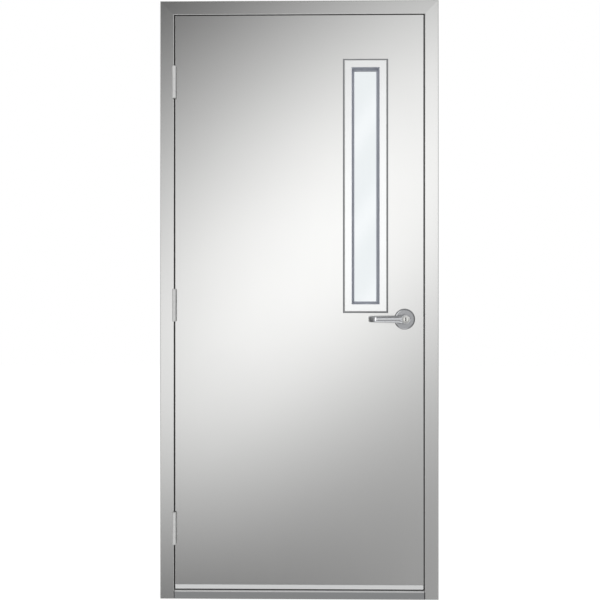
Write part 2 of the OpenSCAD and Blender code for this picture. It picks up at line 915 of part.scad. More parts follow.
// Channel between the skins, flush with the leaf's end; legs point into the leaf
module end_channel() {
    h = channel_t / 2;
    slab_x(-fill_x, fill_x)
        bent_sheet([[in_y0 + h, channel_leg], [in_y0 + h, h], [in_y1 - h, h], [in_y1 - h, channel_leg]],
            channel_t, channel_t);
}

module top_channel() {
    color("darkgray")
        translate([0, 0, door_z1])
            mirror([0, 0, 1])
                end_channel();
}

module at_shoe_screws() {
    for (x = shoe_screw_xs)
        translate([x, door_ym, shoe_z])
            children();
}

module bottom_channel() {
    color("darkgray")
        difference() {
            translate([0, 0, door_z0])
                end_channel();
            at_shoe_screws()
                small_screw(screw_clear);
        }
}

// Honeycomb slab, cut out for the channels, lite, lock and hinge plates
module door_core() {
    hinge_x = -door_x + hinge_leaf_t + backing_t;
    hinge_half = mortise_h / 2 + backing_pad;
    cut_y0 = in_y0 - eps;
    cut_y1 = in_y1 + eps;
    leg_y = channel_t + eps;
    color("ivory")
        difference() {
            box([-fill_x, in_y0, door_z0 + channel_t], [fill_x, in_y1, door_z1 - channel_t]);
            for (z = [door_z0, door_z1 - channel_leg])
                for (y = [cut_y0, cut_y1 - leg_y])
                    box([-door_x, y, z - eps], [door_x, y + leg_y, z + channel_leg + eps]);
            for (z = [door_z0, door_z1 - 2 * channel_t])
                box([-door_x, cut_y0, z], [door_x, cut_y1, z + 2 * channel_t]);
            slab_y(cut_y0, cut_y1)
                translate([lite_x, lite_z])
                    square([cut_w, cut_h], center = true);
            box([door_x - lock_box_d, cut_y0, lock_rise - lock_box_h / 2],
                [door_x, cut_y1, lock_rise + lock_box_h / 2]);
            for (z = hinge_zs)
                box([-door_x, cut_y0, z - hinge_half], [hinge_x + hinge_screw_len, cut_y1, z + hinge_half]);
            at_shoe_screws()
                cylinder(d = small_head_d, h = small_screw_len + 2 * core_room);
        }
}

// Formed box that stiffens the lock edge
module lock_reinforcement() {
    x0 = door_x - lock_box_d;
    color("darkgray")
        difference() {
            translate([0, 0, lock_rise - lock_box_h / 2])
                linear_extrude(lock_box_h)
                    bent_sheet([[x0, lock_box_y0], [lock_web_x, lock_box_y0], [lock_web_x, lock_box_y1],
                        [x0, lock_box_y1]], lock_box_t, lock_box_t);
            translate([lock_x, door_y0, lock_rise])
                rotate([-90, 0, 0])
                    cylinder(d = cross_bore_d, h = door_t);
            translate([lock_x, door_ym, lock_rise])
                rotate([0, 90, 0])
                    cylinder(d = latch_bore_d, h = backset);
            at_latch_screws()
                small_screw(screw_clear);
        }
}

// Rectangular ring with mitred corners; the section's first axis runs outwards from the opening
module mitred_ring(w, h, reach) {
    for (turn = [0 : 3]) {
        half = (turn % 2 == 0 ? w : h) / 2;
        run = (turn % 2 == 0 ? h : w) / 2;
        rotate([0, 0, 90 * turn])
            translate([half, 0, 0])
                intersection() {
                    translate([0, run + reach, 0])
                        rotate([90, 0, 0])
                            linear_extrude(2 * (run + reach))
                                children();
                    translate([0, 0, -door_t])
                        linear_extrude(2 * door_t)
                            polygon([[-reach, -run + reach], [reach, -run - reach],
                                [reach, run + reach], [-reach, run - reach]]);
                }
    }
}

// Offsets a run of points sideways with mitred corners
function normal(a, b) = let (d = unit(b - a)) [-d.y, d.x];
function shifted(p, s) = [for (i = [0 : len(p) - 1])
    let (n0 = normal(p[max(i - 1, 0)], p[max(i, 1)]),
        n1 = normal(p[min(i, len(p) - 2)], p[min(i + 1, len(p) - 1)]))
    p[i] + s * (n0 + n1) / (1 + n0 * n1)];

// Middle line of the trim's sheet: bevel on the skin, flat top, sloped reveal, flange over the glass
function trim_path() = let (h = trim_t / 2)
    [[trim_w - h, 0], [trim_w - h, h], [trim_w - trim_bevel, trim_h - h], [h, trim_h - h],
        [h - reveal_splay, h - trim_in], [trim_flange - reveal_splay, h - trim_in]];

// The faces of the sheet that show, from the outer edge to the flange
function trim_face() = shifted(trim_path(), -trim_t / 2);

module trim_section() {
    polygon(concat(shifted(trim_path(), trim_t / 2), mirror_list(trim_face())));
}

// Gasket section: flat under the flange, then a wedge that lines the reveal and shows round the glass
module gasket_section() {
    top = trim_face()[3];
    foot = trim_face()[4];
    lip = top + (foot - top) * lip_drop / (top.y - foot.y);
    glass_z = foot.y - tape_t;
    polygon([[glass_bite, glass_z], [glass_bite, foot.y], foot, lip, lip - [lip_t, 0],
        [foot.x - lip_t - bead_show, glass_z]]);
}

// Brings a piece drawn flat, with +Z out of the leaf, to the front of the lite
module at_lite() {
    translate([lite_x, door_y0, lite_z])
        rotate([90, 0, 0])
            children();
}

// Screw places of the lite, seen from the front: the long sides and the middle of each short side
module at_trim_screws() {
    x = lite_w / 2 + trim_screw_in;
    z = lite_h / 2 + trim_screw_in;
    step = lite_h / 2 - trim_screw_end;
    at_lite() {
        for (s = [-1, 1], i = [-1 : 1])
            translate([s * x, i * step, 0])
                children();
        for (s = [-1, 1])
            translate([0, s * z, 0])
                children();
    }
}

// Long screw from the back trim to the front trim's flange
module trim_screw(grow = 0) {
    len = door_t + trim_h - trim_in + trim_t;
    translate([0, 0, -door_t - trim_h])
        screw(small_head_d, small_shank_d, len, grow);
}

module lite_frame_front() {
    color("whitesmoke")
        difference() {
            at_lite()
                mitred_ring(lite_w, lite_h, trim_w + eps)
                    trim_section();
            at_trim_screws()
                trim_screw(screw_clear);
        }
}

module lite_frame_back() {
    color("whitesmoke")
        difference() {
            to_back()
                at_lite()
                    mitred_ring(lite_w, lite_h, trim_w + eps)
                        trim_section();
            at_trim_screws()
                trim_screw(screw_clear);
        }
}

module lite_screws() {
    color("dimgray")
        at_trim_screws()
            trim_screw();
}

module lite_glass() {
    color("lightblue", 0.5)
        slab_y(door_ym - glass_t / 2, door_ym + glass_t / 2)
            translate([lite_x, lite_z])
                square([lite_w + 2 * glass_bite, lite_h + 2 * glass_bite], center = true);
}

// Glazing gasket between the trim and the glass
module lite_tape_front() {
    color("slategray")
        at_lite()
            mitred_ring(lite_w, lite_h, trim_w + eps)
                gasket_section();
}

module lite_tape_back() {
    to_back()
        lite_tape_front();
}

// Shoe that wraps the foot of the leaf
module door_shoe() {
    color("lightsteelblue")
        difference() {
            slab_x(-shoe_end_x, shoe_end_x)
                difference() {
                    translate([door_y0 - shoe_t, shoe_z])
                        square([door_t + 2 * shoe_t, shoe_h]);
                    translate([door_y0, door_z0])
                        square([door_t, shoe_h]);
                }
            at_shoe_screws()
                small_screw(screw_clear);
        }
}

module shoe_screws() {
    color("dimgray")
        at_shoe_screws()
            small_screw();
}

// Soft strip under the shoe with three fins towards the sill
module shoe_seal() {
    tip_z = sill_h + seal_clear;
    color("black")
        slab_x(-shoe_end_x, shoe_end_x) {
            translate([door_ym - seal_w / 2, shoe_z - seal_t])
                square([seal_w, seal_t]);
            for (i = [-1 : 1])
                translate([door_ym + i * (seal_w - fin_t) / 2 - fin_t / 2, 0])
                    polygon([[0, shoe_z], [0, shoe_z - seal_t], [0.25 * fin_t, tip_z],
                        [0.75 * fin_t, tip_z], [fin_t, shoe_z - seal_t], [fin_t, shoe_z]]);
        }
}

// Round body in the cross bore that carries both spindle sleeves
module lock_chassis() {
    color("darkgray")
        translate([lock_x, door_y0, lock_rise])
            rotate([-90, 0, 0])
                difference() {
                    cylinder(d = chassis_d, h = door_t);
                    translate([0, 0, -eps])
                        cylinder(d = spindle_d + 2 * spindle_clear, h = door_t + 2 * eps);
                }
}

// From the middle of the latch, with +Z pointing out of the lock edge
module at_latch(x) {
    translate([x, door_ym, lock_rise])
        rotate([0, 90, 0])
            children();
}

// Face plate screw places, with +Z pointing into the leaf
module at_latch_screws() {
    for (s = [-1, 1])
        translate([door_x, door_ym, lock_rise + s * plate_screw_pitch / 2])
            rotate([0, -90, 0])
                children();
}

module latch_tube() {
    len = door_x - plate_t - tube_x0;
    color("darkgray")
        at_latch(tube_x0)
            difference() {
                cylinder(d = tube_d, h = len);
                translate([0, 0, -eps])
                    cylinder(d = tube_d - 2 * tube_wall, h = len + 2 * eps);
            }
}

module latch_faceplate() {
    hole_w = bolt_w + 2 * bolt_room;
    hole_h = bolt_h + 2 * bolt_room;
    color("gainsboro")
        difference() {
            box([door_x - plate_t, door_ym - plate_w / 2, lock_rise - plate_h / 2],
                [door_x, door_ym + plate_w / 2, lock_rise + plate_h / 2]);
            box([door_x - plate_t - eps, door_ym - hole_w / 2, lock_rise - hole_h / 2],
                [door_x + eps, door_ym + hole_w / 2, lock_rise + hole_h / 2]);
            at_latch_screws()
                small_screw(screw_clear);
        }
}

module latch_screws() {
    color("dimgray")
        at_latch_screws()
            small_screw();
}

// Bolt with its bevel towards the closing side and a round guide in the tube
module latch_bolt() {
    x0 = door_x - bolt_tail;
    x1 = door_x + latch_throw;
    color("gainsboro") {
        at_latch(x0)
            cylinder(d = tube_d - 2 * tube_wall - 2 * bolt_clear, h = guide_len);
        translate([0, door_ym, lock_rise - bolt_h / 2])
            linear_extrude(bolt_h)
                polygon([[x0 + guide_len, -bolt_w / 2], [x1, -bolt_w / 2], [x1, -bolt_w / 2 + bolt_land],
                    [door_x, bolt_w / 2], [x0 + guide_len, bolt_w / 2]]);
    }
}

// Brings a lock piece, drawn with +Z out of the leaf, to the front or to the back
module at_front() {
    translate([lock_x, door_y0, lock_rise])
        rotate([90, 0, 0])
            children();
}

module at_back() {
    to_back()
        at_front()
            children();
}

module rose() {
    hole = neck_d / 2 + neck_gap;
    rotate_extrude()
        difference() {
            union() {
                translate([hole, 0])
                    square([rose_d / 2 - hole, rose_h - rose_r]);
                translate([hole, 0])
                    square([rose_d / 2 - rose_r - hole, rose_h]);
                translate([rose_d / 2 - rose_r, rose_h - rose_r])
                    circle(rose_r);
            }
            translate([rose_d / 2 - 2 * rose_r, -2 * rose_r])
                square([3 * rose_r, 2 * rose_r]);
        }
}

module outside_rose() {
    color("lightgray")
        at_front()
            rose();
}

module inside_rose() {
    color("lightgray")
        at_back()
            rose();
}

// Lever arm: stations along the bar, round its bend and down the return
arm_run = lever_reach - return_r - bar_t_tip / 2;
arm_drop = bar_z - return_r - return_gap;
arm_steps = 6;
arm_bend_steps = 8;
// Each station holds its centre in x and z, its turn, its share of the length and its size factor
arm_stations = concat(
    [for (i = [0 : arm_steps - 1]) [-arm_run * i / arm_steps, bar_z, 0, 0.8 * i / arm_steps, 1]],
    [for (i = [0 : arm_bend_steps])
        let (a = 90 * i / arm_bend_steps)
        [-arm_run - return_r * sin(a), bar_z - return_r + return_r * cos(a), a,
            0.8 + 0.2 * i / arm_bend_steps, 1]],
    [for (f = [[0.7, 1], [0.92, 0.94], [0.98, 0.82], [1, 0.6]])
        [-arm_run - return_r, bar_z - return_r - f[0] * arm_drop, 90, 1, f[1]]]
);
arm_sides = 20;
function soft(v) = sign(v) * pow(abs(v), 0.75);
function ring(s) = let (
        h = s[4] * (bar_h_hub + s[3] * (bar_h_tip - bar_h_hub)) / 2,
        t = s[4] * (bar_t_hub + s[3] * (bar_t_tip - bar_t_hub)) / 2)
    [for (k = [0 : arm_sides - 1])
        let (a = 360 * k / arm_sides, n = t * soft(cos(a)))
        [s[0] - n * sin(s[2]), h * soft(sin(a)), s[1] + n * cos(s[2])]];

module lever_arm() {
    rings = len(arm_stations);
    points = [for (s = arm_stations) each ring(s)];
    n = arm_sides;
    side = [for (i = [0 : rings - 2], k = [0 : n - 1])
        let (a = i * n + k, b = i * n + (k + 1) % n)
        each [[a, b + n, b], [a, a + n, b + n]]];
    start = [for (k = [0 : n - 1]) k];
    end = [for (k = [n - 1 : -1 : 0]) (rings - 1) * n + k];
    polyhedron(points, concat([start], side, [end]));
}

// Spindle sleeve, neck and head of the lever
module lever_hub() {
    rotate_extrude()
        polygon([[0, -spindle_in], [spindle_d / 2, -spindle_in], [spindle_d / 2, turn_gap],
            [neck_d / 2, turn_gap],
            [neck_d / 2, bar_z - bar_h_hub], [hub_d / 2, bar_z - bar_t_hub / 2],
            [hub_d / 2, lever_out - hub_chamfer], [hub_d / 2 - hub_chamfer, lever_out], [0, lever_out]]);
}

module outside_lever() {
    color("lightgray")
        at_front()
            difference() {
                union() {
                    lever_hub();
                    lever_arm();
                }
                translate([0, 0, lever_out - cylinder_len])
                    cylinder(d = cylinder_d, h = cylinder_len + eps);
            }
}

module inside_lever() {
    color("lightgray")
        at_back() {
            lever_hub();
            lever_arm();
        }
}

// Cylinder in the lever's head, dished round the plug
module key_cylinder() {
    z0 = lever_out - cylinder_len;
    color("silver")
        at_front()
            difference() {
                translate([0, 0, z0])
                    cylinder(d = cylinder_d, h = cylinder_len);
                translate([0, 0, z0 + cylinder_floor])
                    cylinder(d = plug_d + 2 * plug_clear, h = cylinder_len);
                translate([0, 0, lever_out - dish_depth])
                    cylinder(d1 = plug_d + 2 * dish_rim, d2 = cylinder_d - 2 * dish_rim,
                        h = dish_depth + 0.01);
            }
}

module key_plug() {
    z0 = lever_out - cylinder_len + cylinder_floor + turn_gap;
    z1 = lever_out - dish_depth;
    color("goldenrod")
        at_front()
            difference() {
                translate([0, 0, z0])
                    cylinder(d = plug_d, h = z1 - z0);
                translate([-keyway_w / 2, -keyway_h / 2, z1 - keyway_depth])
                    cube([keyway_w, keyway_h, keyway_depth + eps]);
            }
}

place() {
    hinge_jamb();
    strike_jamb();
    head();
    frame_hinge_plates();
    strike_backing();
    strike_plate();
    strike_screws();
    dust_box();
    hinge_side_anchors();
    strike_side_anchors();
    floor_anchors();
    silencers();
    sill();
    sill_screws();
    hinge_frame_leaves();
    hinge_pins();
    frame_hinge_screws();
    front_skin();
    back_skin();
    door_core();
    top_channel();
    bottom_channel();
    door_hinge_plates();
    lock_reinforcement();
    hinge_door_leaves();
    door_hinge_screws();
    lite_frame_front();
    lite_frame_back();
    lite_glass();
    lite_tape_front();
    lite_tape_back();
    lite_screws();
    door_shoe();
    shoe_seal();
    shoe_screws();
    lock_chassis();
    latch_tube();
    latch_faceplate();
    latch_screws();
    outside_rose();
    inside_rose();
    outside_lever();
    key_cylinder();
    key_plug();
    inside_lever();
    latch_bolt();
}
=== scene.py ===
# %% [markdown]
# # A stainless steel door in its frame
# This lesson dresses a finished CAD model of a steel door. The CAD solids are already in their real
# places and sizes, so the work here is finish, light and a few small pieces that a solid model leaves out.

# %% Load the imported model
import math
import bpy
import bmesh
import numpy as np
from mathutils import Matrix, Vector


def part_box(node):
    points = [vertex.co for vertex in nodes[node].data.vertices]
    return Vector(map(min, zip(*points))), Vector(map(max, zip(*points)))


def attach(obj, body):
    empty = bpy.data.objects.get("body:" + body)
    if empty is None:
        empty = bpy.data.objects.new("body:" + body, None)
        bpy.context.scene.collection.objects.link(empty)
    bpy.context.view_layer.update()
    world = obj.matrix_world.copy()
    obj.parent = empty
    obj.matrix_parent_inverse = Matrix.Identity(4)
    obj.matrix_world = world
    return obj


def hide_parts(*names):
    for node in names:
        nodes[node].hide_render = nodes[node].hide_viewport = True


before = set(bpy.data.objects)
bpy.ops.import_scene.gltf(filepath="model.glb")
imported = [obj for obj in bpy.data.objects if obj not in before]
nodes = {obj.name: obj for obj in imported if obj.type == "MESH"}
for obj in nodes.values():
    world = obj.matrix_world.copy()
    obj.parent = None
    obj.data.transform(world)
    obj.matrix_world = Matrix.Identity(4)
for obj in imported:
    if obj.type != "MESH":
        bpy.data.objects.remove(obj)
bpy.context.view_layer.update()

# %% [markdown]
# ## Where things are
# New pieces must sit on the solids that carry them, so no position is guessed. The boxes of a few nodes give
# planes and axes: the two skins give the faces of the leaf, and the rose gives the axis of the lock. Sizes
# that no box shows, such as those of the rabbet, are repeated from the CAD model as named values in mm.

# %% Planes and axes from the CAD boxes
MM = 0.001
leaf_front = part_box("front_skin")[0].y
leaf_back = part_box("back_skin")[1].y
leaf_mid = (leaf_front + leaf_back) / 2
rose_low, rose_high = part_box("outside_rose")
lock_x = (rose_low.x + rose_high.x) / 2
lock_z = (rose_low.z + rose_high.z) / 2
print("leaf from", round(leaf_front, 4), "to", round(leaf_back, 4))
print("lock at", round(lock_x, 4), round(lock_z, 4))

# %% [markdown]
# ## Camera
# The photograph is taken straight on, from about four metres, with the lens at half the height of the
# door and about one degree to the right. A long lens keeps the uprights parallel, so the field of view
# is set to the height of the frame at that distance.

# %% Camera
CAMERA_DISTANCE = 4.0
CAMERA_TURN = math.radians(1.0)
VIEW_WIDTH = 2.19
AIM_X, AIM_Z = 0.0032, 1.0917
aim = np.array([AIM_X, leaf_front, AIM_Z])
place = aim + CAMERA_DISTANCE * np.array([math.sin(CAMERA_TURN), -math.cos(CAMERA_TURN), 0.0])
camera_data = bpy.data.cameras.new("camera")
camera_data.sensor_fit = "HORIZONTAL"
camera_data.angle = 2 * math.atan(0.5 * VIEW_WIDTH / CAMERA_DISTANCE)
camera = bpy.data.objects.new("camera", camera_data)
camera.location = place
camera.rotation_euler = (math.pi / 2, 0, CAMERA_TURN)
bpy.context.scene.collection.objects.link(camera)
bpy.context.scene.camera = camera
print("camera at", place.round(3), "field", round(math.degrees(camera_data.angle), 2))

# %% [markdown]
# ## Tools for surfaces
# Every new piece is a grid of points worked out as whole arrays. One function turns such a grid into a
# mesh: neighbouring rows and columns make the quads. Doubled points at seams and poles are merged, and
# the normals are turned outwards.

# %% Grid to mesh
MERGE_DISTANCE = 1e-6
CREASE_ANGLE = math.radians(32)


def quads(rows, cols, start=0):
    """Index quads of a grid whose columns close on themselves: (i, j), (i, j+1), (i+1, j+1), (i+1, j)."""
    i, j = np.meshgrid(np.arange(rows - 1), np.arange(cols), indexing="ij")
    k = (j + 1) % cols
    low, high = i * cols, (i + 1) * cols
    return start + np.stack([low + j, low + k, high + k, high + j], -1).reshape(-1, 4)


def surface(name, grids):
    """One smooth object from a list of closed-ring grids, each an array of rows x columns x 3."""
    starts = np.cumsum([0] + [g.shape[0] * g.shape[1] for g in grids[:-1]])
    points = np.concatenate([g.reshape(-1, 3) for g in grids])
    faces = np.concatenate([quads(g.shape[0], g.shape[1], s) for g, s in zip(grids, starts)])
    mesh = bpy.data.meshes.new(name)
    mesh.from_pydata(points.tolist(), [], faces.tolist())
    work = bmesh.new()
    work.from_mesh(mesh)
    bmesh.ops.remove_doubles(work, verts=work.verts, dist=MERGE_DISTANCE)
    bmesh.ops.dissolve_degenerate(work, edges=work.edges, dist=MERGE_DISTANCE / 10)
    bmesh.ops.recalc_face_normals(work, faces=work.faces)
    work.to_mesh(mesh)
    work.free()
    mesh.polygons.foreach_set("use_smooth", np.full(len(mesh.polygons), True))
    piece = bpy.data.objects.new(name, mesh)
    bpy.context.scene.collection.objects.link(piece)
    mesh.set_sharp_from_angle(angle=CREASE_ANGLE)
    print(name, "faces:", len(mesh.polygons))
    return piece


def lathe(profile, sides=72):
    """A profile of (radius, height) turned about the Z axis: (r cos a, r sin a, h)."""
    r, h = np.asarray(profile, float).T
    a = np.linspace(0, 2 * np.pi, sides, endpoint=False)
    return np.stack([np.outer(r, np.cos(a)), np.outer(r, np.sin(a)), np.outer(h, np.ones(sides))], -1)


def rounded(corners, radius, steps=6):
    """A polyline with each inner corner b replaced by the quadratic curve (1-t)^2 s + 2t(1-t) b + t^2 e,
    whose ends s and e lie on the two sides at the given distance from b, or nearer where a side is short."""
    p = np.asarray(corners, float)
    out = [p[:1]]
    t = np.linspace(0, 1, steps)[:, None]
    for a, b, c in zip(p[:-2], p[1:-1], p[2:]):
        back, on = a - b, c - b
        r = min(radius, 0.45 * np.linalg.norm(back), 0.45 * np.linalg.norm(on))
        s, e = b + r * back / np.linalg.norm(back), b + r * on / np.linalg.norm(on)
        out.append((1 - t) ** 2 * s + 2 * t * (1 - t) * b + t ** 2 * e)
    return np.concatenate(out + [p[-1:]])


print("quads of a grid with 3 rows and 4 columns:", len(quads(3, 4)))

# %% [markdown]
# ## Levers
# The real lever is cast and then satin plated: a round head with a neck, and a flat bar that tapers,
# turns back towards the leaf and ends short of it. The solid has 20 sides, which would show as facets
# in the highlights. Here the bar is a soft rectangle (a superellipse) carried along the same path, with
# a flare where it grows out of the head.

# %% Lever bar as a swept superellipse
LEVER_OUT, LEVER_REACH, RETURN_R, RETURN_CLEAR = 62.0, 131.0, 22.0, 12.0
BAR_HEIGHT, BAR_TIP_HEIGHT = 27.0, 20.0
BAR_THICK, BAR_TIP_THICK = 14.0, 9.5
HUB_STEP = 2.5
BAR_Z = LEVER_OUT - HUB_STEP - BAR_THICK / 2
HEAD_WALL = 15.2
FLARE, FLARE_START, FLARE_REACH = 3.5, 12.0, 9.0
TAPER_ON_BAR = 0.8
TIP_START = 0.55
SOFTNESS = 0.75


def lever_bar(rows=56, return_rows=16, sides=48, cap_rows=8):
    """Ring s: centre on a line, then a quarter circle, then a line to the leaf. The ring is
    height * sgn(sin a) |sin a|^0.75 across and thickness * sgn(cos a) |cos a|^0.75 along the normal.
    Height and thickness fall from head to tip, and a bell curve adds a flare at the head. No point comes
    nearer to the axis than the middle of the head's wall, and the first rings close the bar there."""
    run = LEVER_REACH - RETURN_R - BAR_TIP_THICK / 2
    drop = BAR_Z - RETURN_R - RETURN_CLEAR
    bend_end = run + RETURN_R * np.pi / 2
    s = np.concatenate([np.zeros(cap_rows), np.linspace(0, bend_end, rows, endpoint=False),
                        bend_end + drop * np.sin(np.linspace(0, np.pi / 2, return_rows))])
    on_bar = np.minimum(s, run)
    turn = np.clip((s - run) / RETURN_R, 0, np.pi / 2)
    down = np.maximum(s - bend_end, 0)
    z = BAR_Z - RETURN_R + RETURN_R * np.cos(turn) - down
    share = np.clip(TAPER_ON_BAR * on_bar / run + (1 - TAPER_ON_BAR) * turn / (np.pi / 2), 0, 1)
    tip = np.clip((down / drop - TIP_START) / (1 - TIP_START), 0, 1)
    close = np.sqrt(np.clip(1 - tip ** 4, 0, 1))
    close[:cap_rows] = np.linspace(0, 1, cap_rows, endpoint=False)
    flare = np.exp(-(np.maximum(on_bar - FLARE_START, 0) / FLARE_REACH) ** 2)
    half_h = close * (BAR_HEIGHT + (BAR_TIP_HEIGHT - BAR_HEIGHT) * share + FLARE * flare) / 2
    half_t = close * (BAR_THICK + (BAR_TIP_THICK - BAR_THICK) * share) / 2
    a = np.linspace(0, 2 * np.pi, sides, endpoint=False)
    across = np.sign(np.sin(a)) * np.abs(np.sin(a)) ** SOFTNESS
    along = np.sign(np.cos(a)) * np.abs(np.cos(a)) ** SOFTNESS
    n = np.outer(half_t, along)
    y = np.outer(half_h, across)
    out = np.maximum(on_bar[:, None], np.sqrt(np.clip(HEAD_WALL ** 2 - y ** 2, 0, None)))
    x = -out - (RETURN_R + n) * np.sin(turn)[:, None]
    return np.stack([x, y, z[:, None] + n * np.cos(turn)[:, None]], -1)


bar = lever_bar()
print("bar rings and sides:", bar.shape[:2])

# %% [markdown]
# Head and neck are round, so they are a profile turned about an axis, like work on a lathe. The outside head
# is bored for the key cylinder, and the inside head has a shallow dish. Pieces of the lock are drawn round
# the origin, with +Z out of the leaf, and are then moved to the door.

# %% Lever head and neck as a lathe
SPINDLE_R, NECK_R, HEAD_R, CYLINDER_R = 13.0, 15.0, 17.0, 13.5
SPINDLE_END, NECK_START, NECK_END, HEAD_START = -12.0, 0.4, 25.5, 45.5
CYLINDER_BACK = 32.5
KEYED_RIM_R, KEYED_DROP = 14.6, 0.8
DISH_RIM_R, DISH_R, DISH_DROP = 10.5, 9.5, 0.7
HEAD_EDGE = 1.5
neck = [(0.0, SPINDLE_END), (SPINDLE_R, SPINDLE_END), (SPINDLE_R, NECK_START), (NECK_R, NECK_START),
        (NECK_R, NECK_END), (HEAD_R, HEAD_START), (HEAD_R, LEVER_OUT)]
keyed_face = [(KEYED_RIM_R, LEVER_OUT), (CYLINDER_R, LEVER_OUT - KEYED_DROP),
              (CYLINDER_R, CYLINDER_BACK), (0.0, CYLINDER_BACK)]
plain_face = [(DISH_RIM_R, LEVER_OUT), (DISH_R, LEVER_OUT - DISH_DROP), (0.0, LEVER_OUT - DISH_DROP)]


def on_front(grid):
    """Lock pieces are drawn with +Z out of the leaf: (X, Y, Z) becomes
    (lock x + X, front face - Z, lock z + Y)."""
    x, y, z = np.moveaxis(grid * MM, -1, 0)
    return np.stack([lock_x + x, leaf_front - z, lock_z + y], -1)


def on_back(grid):
    """The inside lever is the mirror image of the outside one in the middle plane of the leaf."""
    turned = on_front(grid)
    turned[..., 1] = 2 * leaf_mid - turned[..., 1]
    return turned


head_keyed = lathe(rounded(neck + keyed_face, HEAD_EDGE))
head_plain = lathe(rounded(neck + plain_face, HEAD_EDGE))
outside = surface("outside_lever_plated", [on_front(head_keyed), on_front(bar)])
inside = surface("inside_lever_plated", [on_back(head_plain), on_back(bar)])
for piece, body in ((outside, "outside_lever"), (inside, "inside_lever")):
    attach(piece, body)
    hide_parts(body)

# %% [markdown]
# ## Key plug
# A key plug is a turned brass bar with a broached slot. The slot has side ridges, the wards, which only
# let the right key blank in, and a bevelled mouth, which guides its tip. The face is a ruled surface: each
# side of the mouth is joined by straight lines to the quarter of the rim that it faces, and the outline is
# then pushed inwards to give the slot its walls.

# %% Plug with a warded keyway
SLOT_HALF = np.array([1.5, 6.25])
SLOT_DEPTH = 14.0
WARD_DEPTH = 0.45
UPPER_WARD, LOWER_WARD, LEFT_WARD = (2.4, 1.0), (-2.6, 0.9), (0.0, 1.0)
MOUTH = 0.6
PLUG_R, PLUG_BACK, PLUG_SUNK = 8.0, 34.4, 1.6
PLUG_FRONT = LEVER_OUT - PLUG_SUNK
RIM_CHAMFER = 0.4


def ward(y, middle, half):
    """A ridge of height 1 that falls off at half its width: 1 / (1 + (|y - middle| / half)^8)."""
    return 1 / (1 + (np.abs(y - middle) / half) ** 8)


def keyway(t):
    """Outline of the slot for t from 0 to 4: right side, top, left side, bottom, one unit each. Two wards
    narrow the right side and one narrows the left side."""
    side = t.astype(int)
    run = 2 * (t - side) - 1
    one = np.ones_like(run)
    x = np.choose(side, [one, -run, -one, run])
    y = np.choose(side, [run, one, -run, -one]) * SLOT_HALF[1]
    on_right = ward(y, *UPPER_WARD) + ward(y, *LOWER_WARD)
    wards = np.choose(side, [on_right, 0 * y, ward(y, *LEFT_WARD), 0 * y])
    return np.stack([x * (SLOT_HALF[0] - WARD_DEPTH * wards), y], -1)


def lifted(outline, z):
    """An outline of (x, y) points at one height: (x, y, z)."""
    return np.concatenate([outline, np.full((len(outline), 1), z)], 1)


def plug_grid(count=160):
    """Rows: slot floor centre, slot floor, slot edge, mouth, rim with a small chamfer, side, back edge, back
    centre. The mouth is the slot scaled until it is wider by MOUTH on every side. The rim point for t has
    the angle (t - 1/2) * 90 degrees."""
    t = np.arange(count) * 4 / count
    slot = keyway(t)
    a = (t - 0.5) * np.pi / 2
    rim = np.stack([np.cos(a), np.sin(a)], -1)
    floor_z = PLUG_FRONT - SLOT_DEPTH
    return np.stack([lifted(0 * slot, floor_z), lifted(slot, floor_z), lifted(slot, PLUG_FRONT - MOUTH),
                     lifted(slot * (1 + MOUTH / SLOT_HALF), PLUG_FRONT),
                     lifted((PLUG_R - RIM_CHAMFER) * rim, PLUG_FRONT),
                     lifted(PLUG_R * rim, PLUG_FRONT - RIM_CHAMFER),
                     lifted(PLUG_R * rim, PLUG_BACK), lifted(0 * rim, PLUG_BACK)])


plug = surface("key_plug_turned", [on_front(plug_grid())])
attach(plug, "key_plug")
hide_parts("key_plug")

# %% [markdown]
# ## Screws
# The solids of the screws are plain countersunk heads. Real ones have a cross recess for the driver. The
# head is a disc of rings whose height falls inside the cross, and the cone and shank follow as more rings.
# All screws of a kind are one object, made by shifting one array to each place.

# %% One countersunk screw
HINGE_SCREW, SMALL_SCREW = (11, 5.4, 12), (8, 4, 10)


def cross_arm(u, v, head):
    """How deep one arm of the cross is, 0 to 1: it slopes from its edges at |u| = 0.1 head and
    |v| = 0.31 head to full depth within 0.05 and 0.06 head."""
    over_width = np.clip((0.1 * head - np.abs(u)) / (0.05 * head), 0, 1)
    over_length = np.clip((0.31 * head - np.abs(v)) / (0.06 * head), 0, 1)
    return over_width * over_length


def cross_screw(head, shank, length, sides=40):
    """Rings of radius r; the rings of the face have the height -0.22 head * c, where c is the deeper of two
    crossed arms. A lathe adds the edge, the cone and the shank. +Z points out of the head."""
    r = np.concatenate([np.linspace(0, 0.34, 9), [0.42, 0.485]]) * head
    a = np.linspace(0, 2 * np.pi, sides, endpoint=False)
    x, y = np.outer(r, np.cos(a)), np.outer(r, np.sin(a))
    face = np.stack([x, y, -0.22 * head * np.maximum(cross_arm(x, y, head), cross_arm(y, x, head))], -1)
    cone = (head - shank) / 2
    below = [(head / 2, -0.02 * head), (shank / 2, -cone), (shank / 2, -length), (0, -length)]
    return np.concatenate([face, lathe(below, sides)])


def screws(name, body, node, places, out, sizes):
    """One object: the screw's array turned so that +Z lies along the outward axis, then shifted to each
    place in mm. Sizes are the widths of head and shank, and the length."""
    out = np.asarray(out, float)
    side = np.array([0.0, 0.0, 1.0]) if abs(out[2]) < 0.5 else np.array([1.0, 0.0, 0.0])
    turned = cross_screw(*sizes) @ np.stack([side, np.cross(out, side), out])
    piece = surface(name, [(turned + np.asarray(place_mm)) * MM for place_mm in places])
    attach(piece, body)
    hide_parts(node)
    return piece


print("rings and sides of a hinge screw:", cross_screw(*HINGE_SCREW).shape[:2])

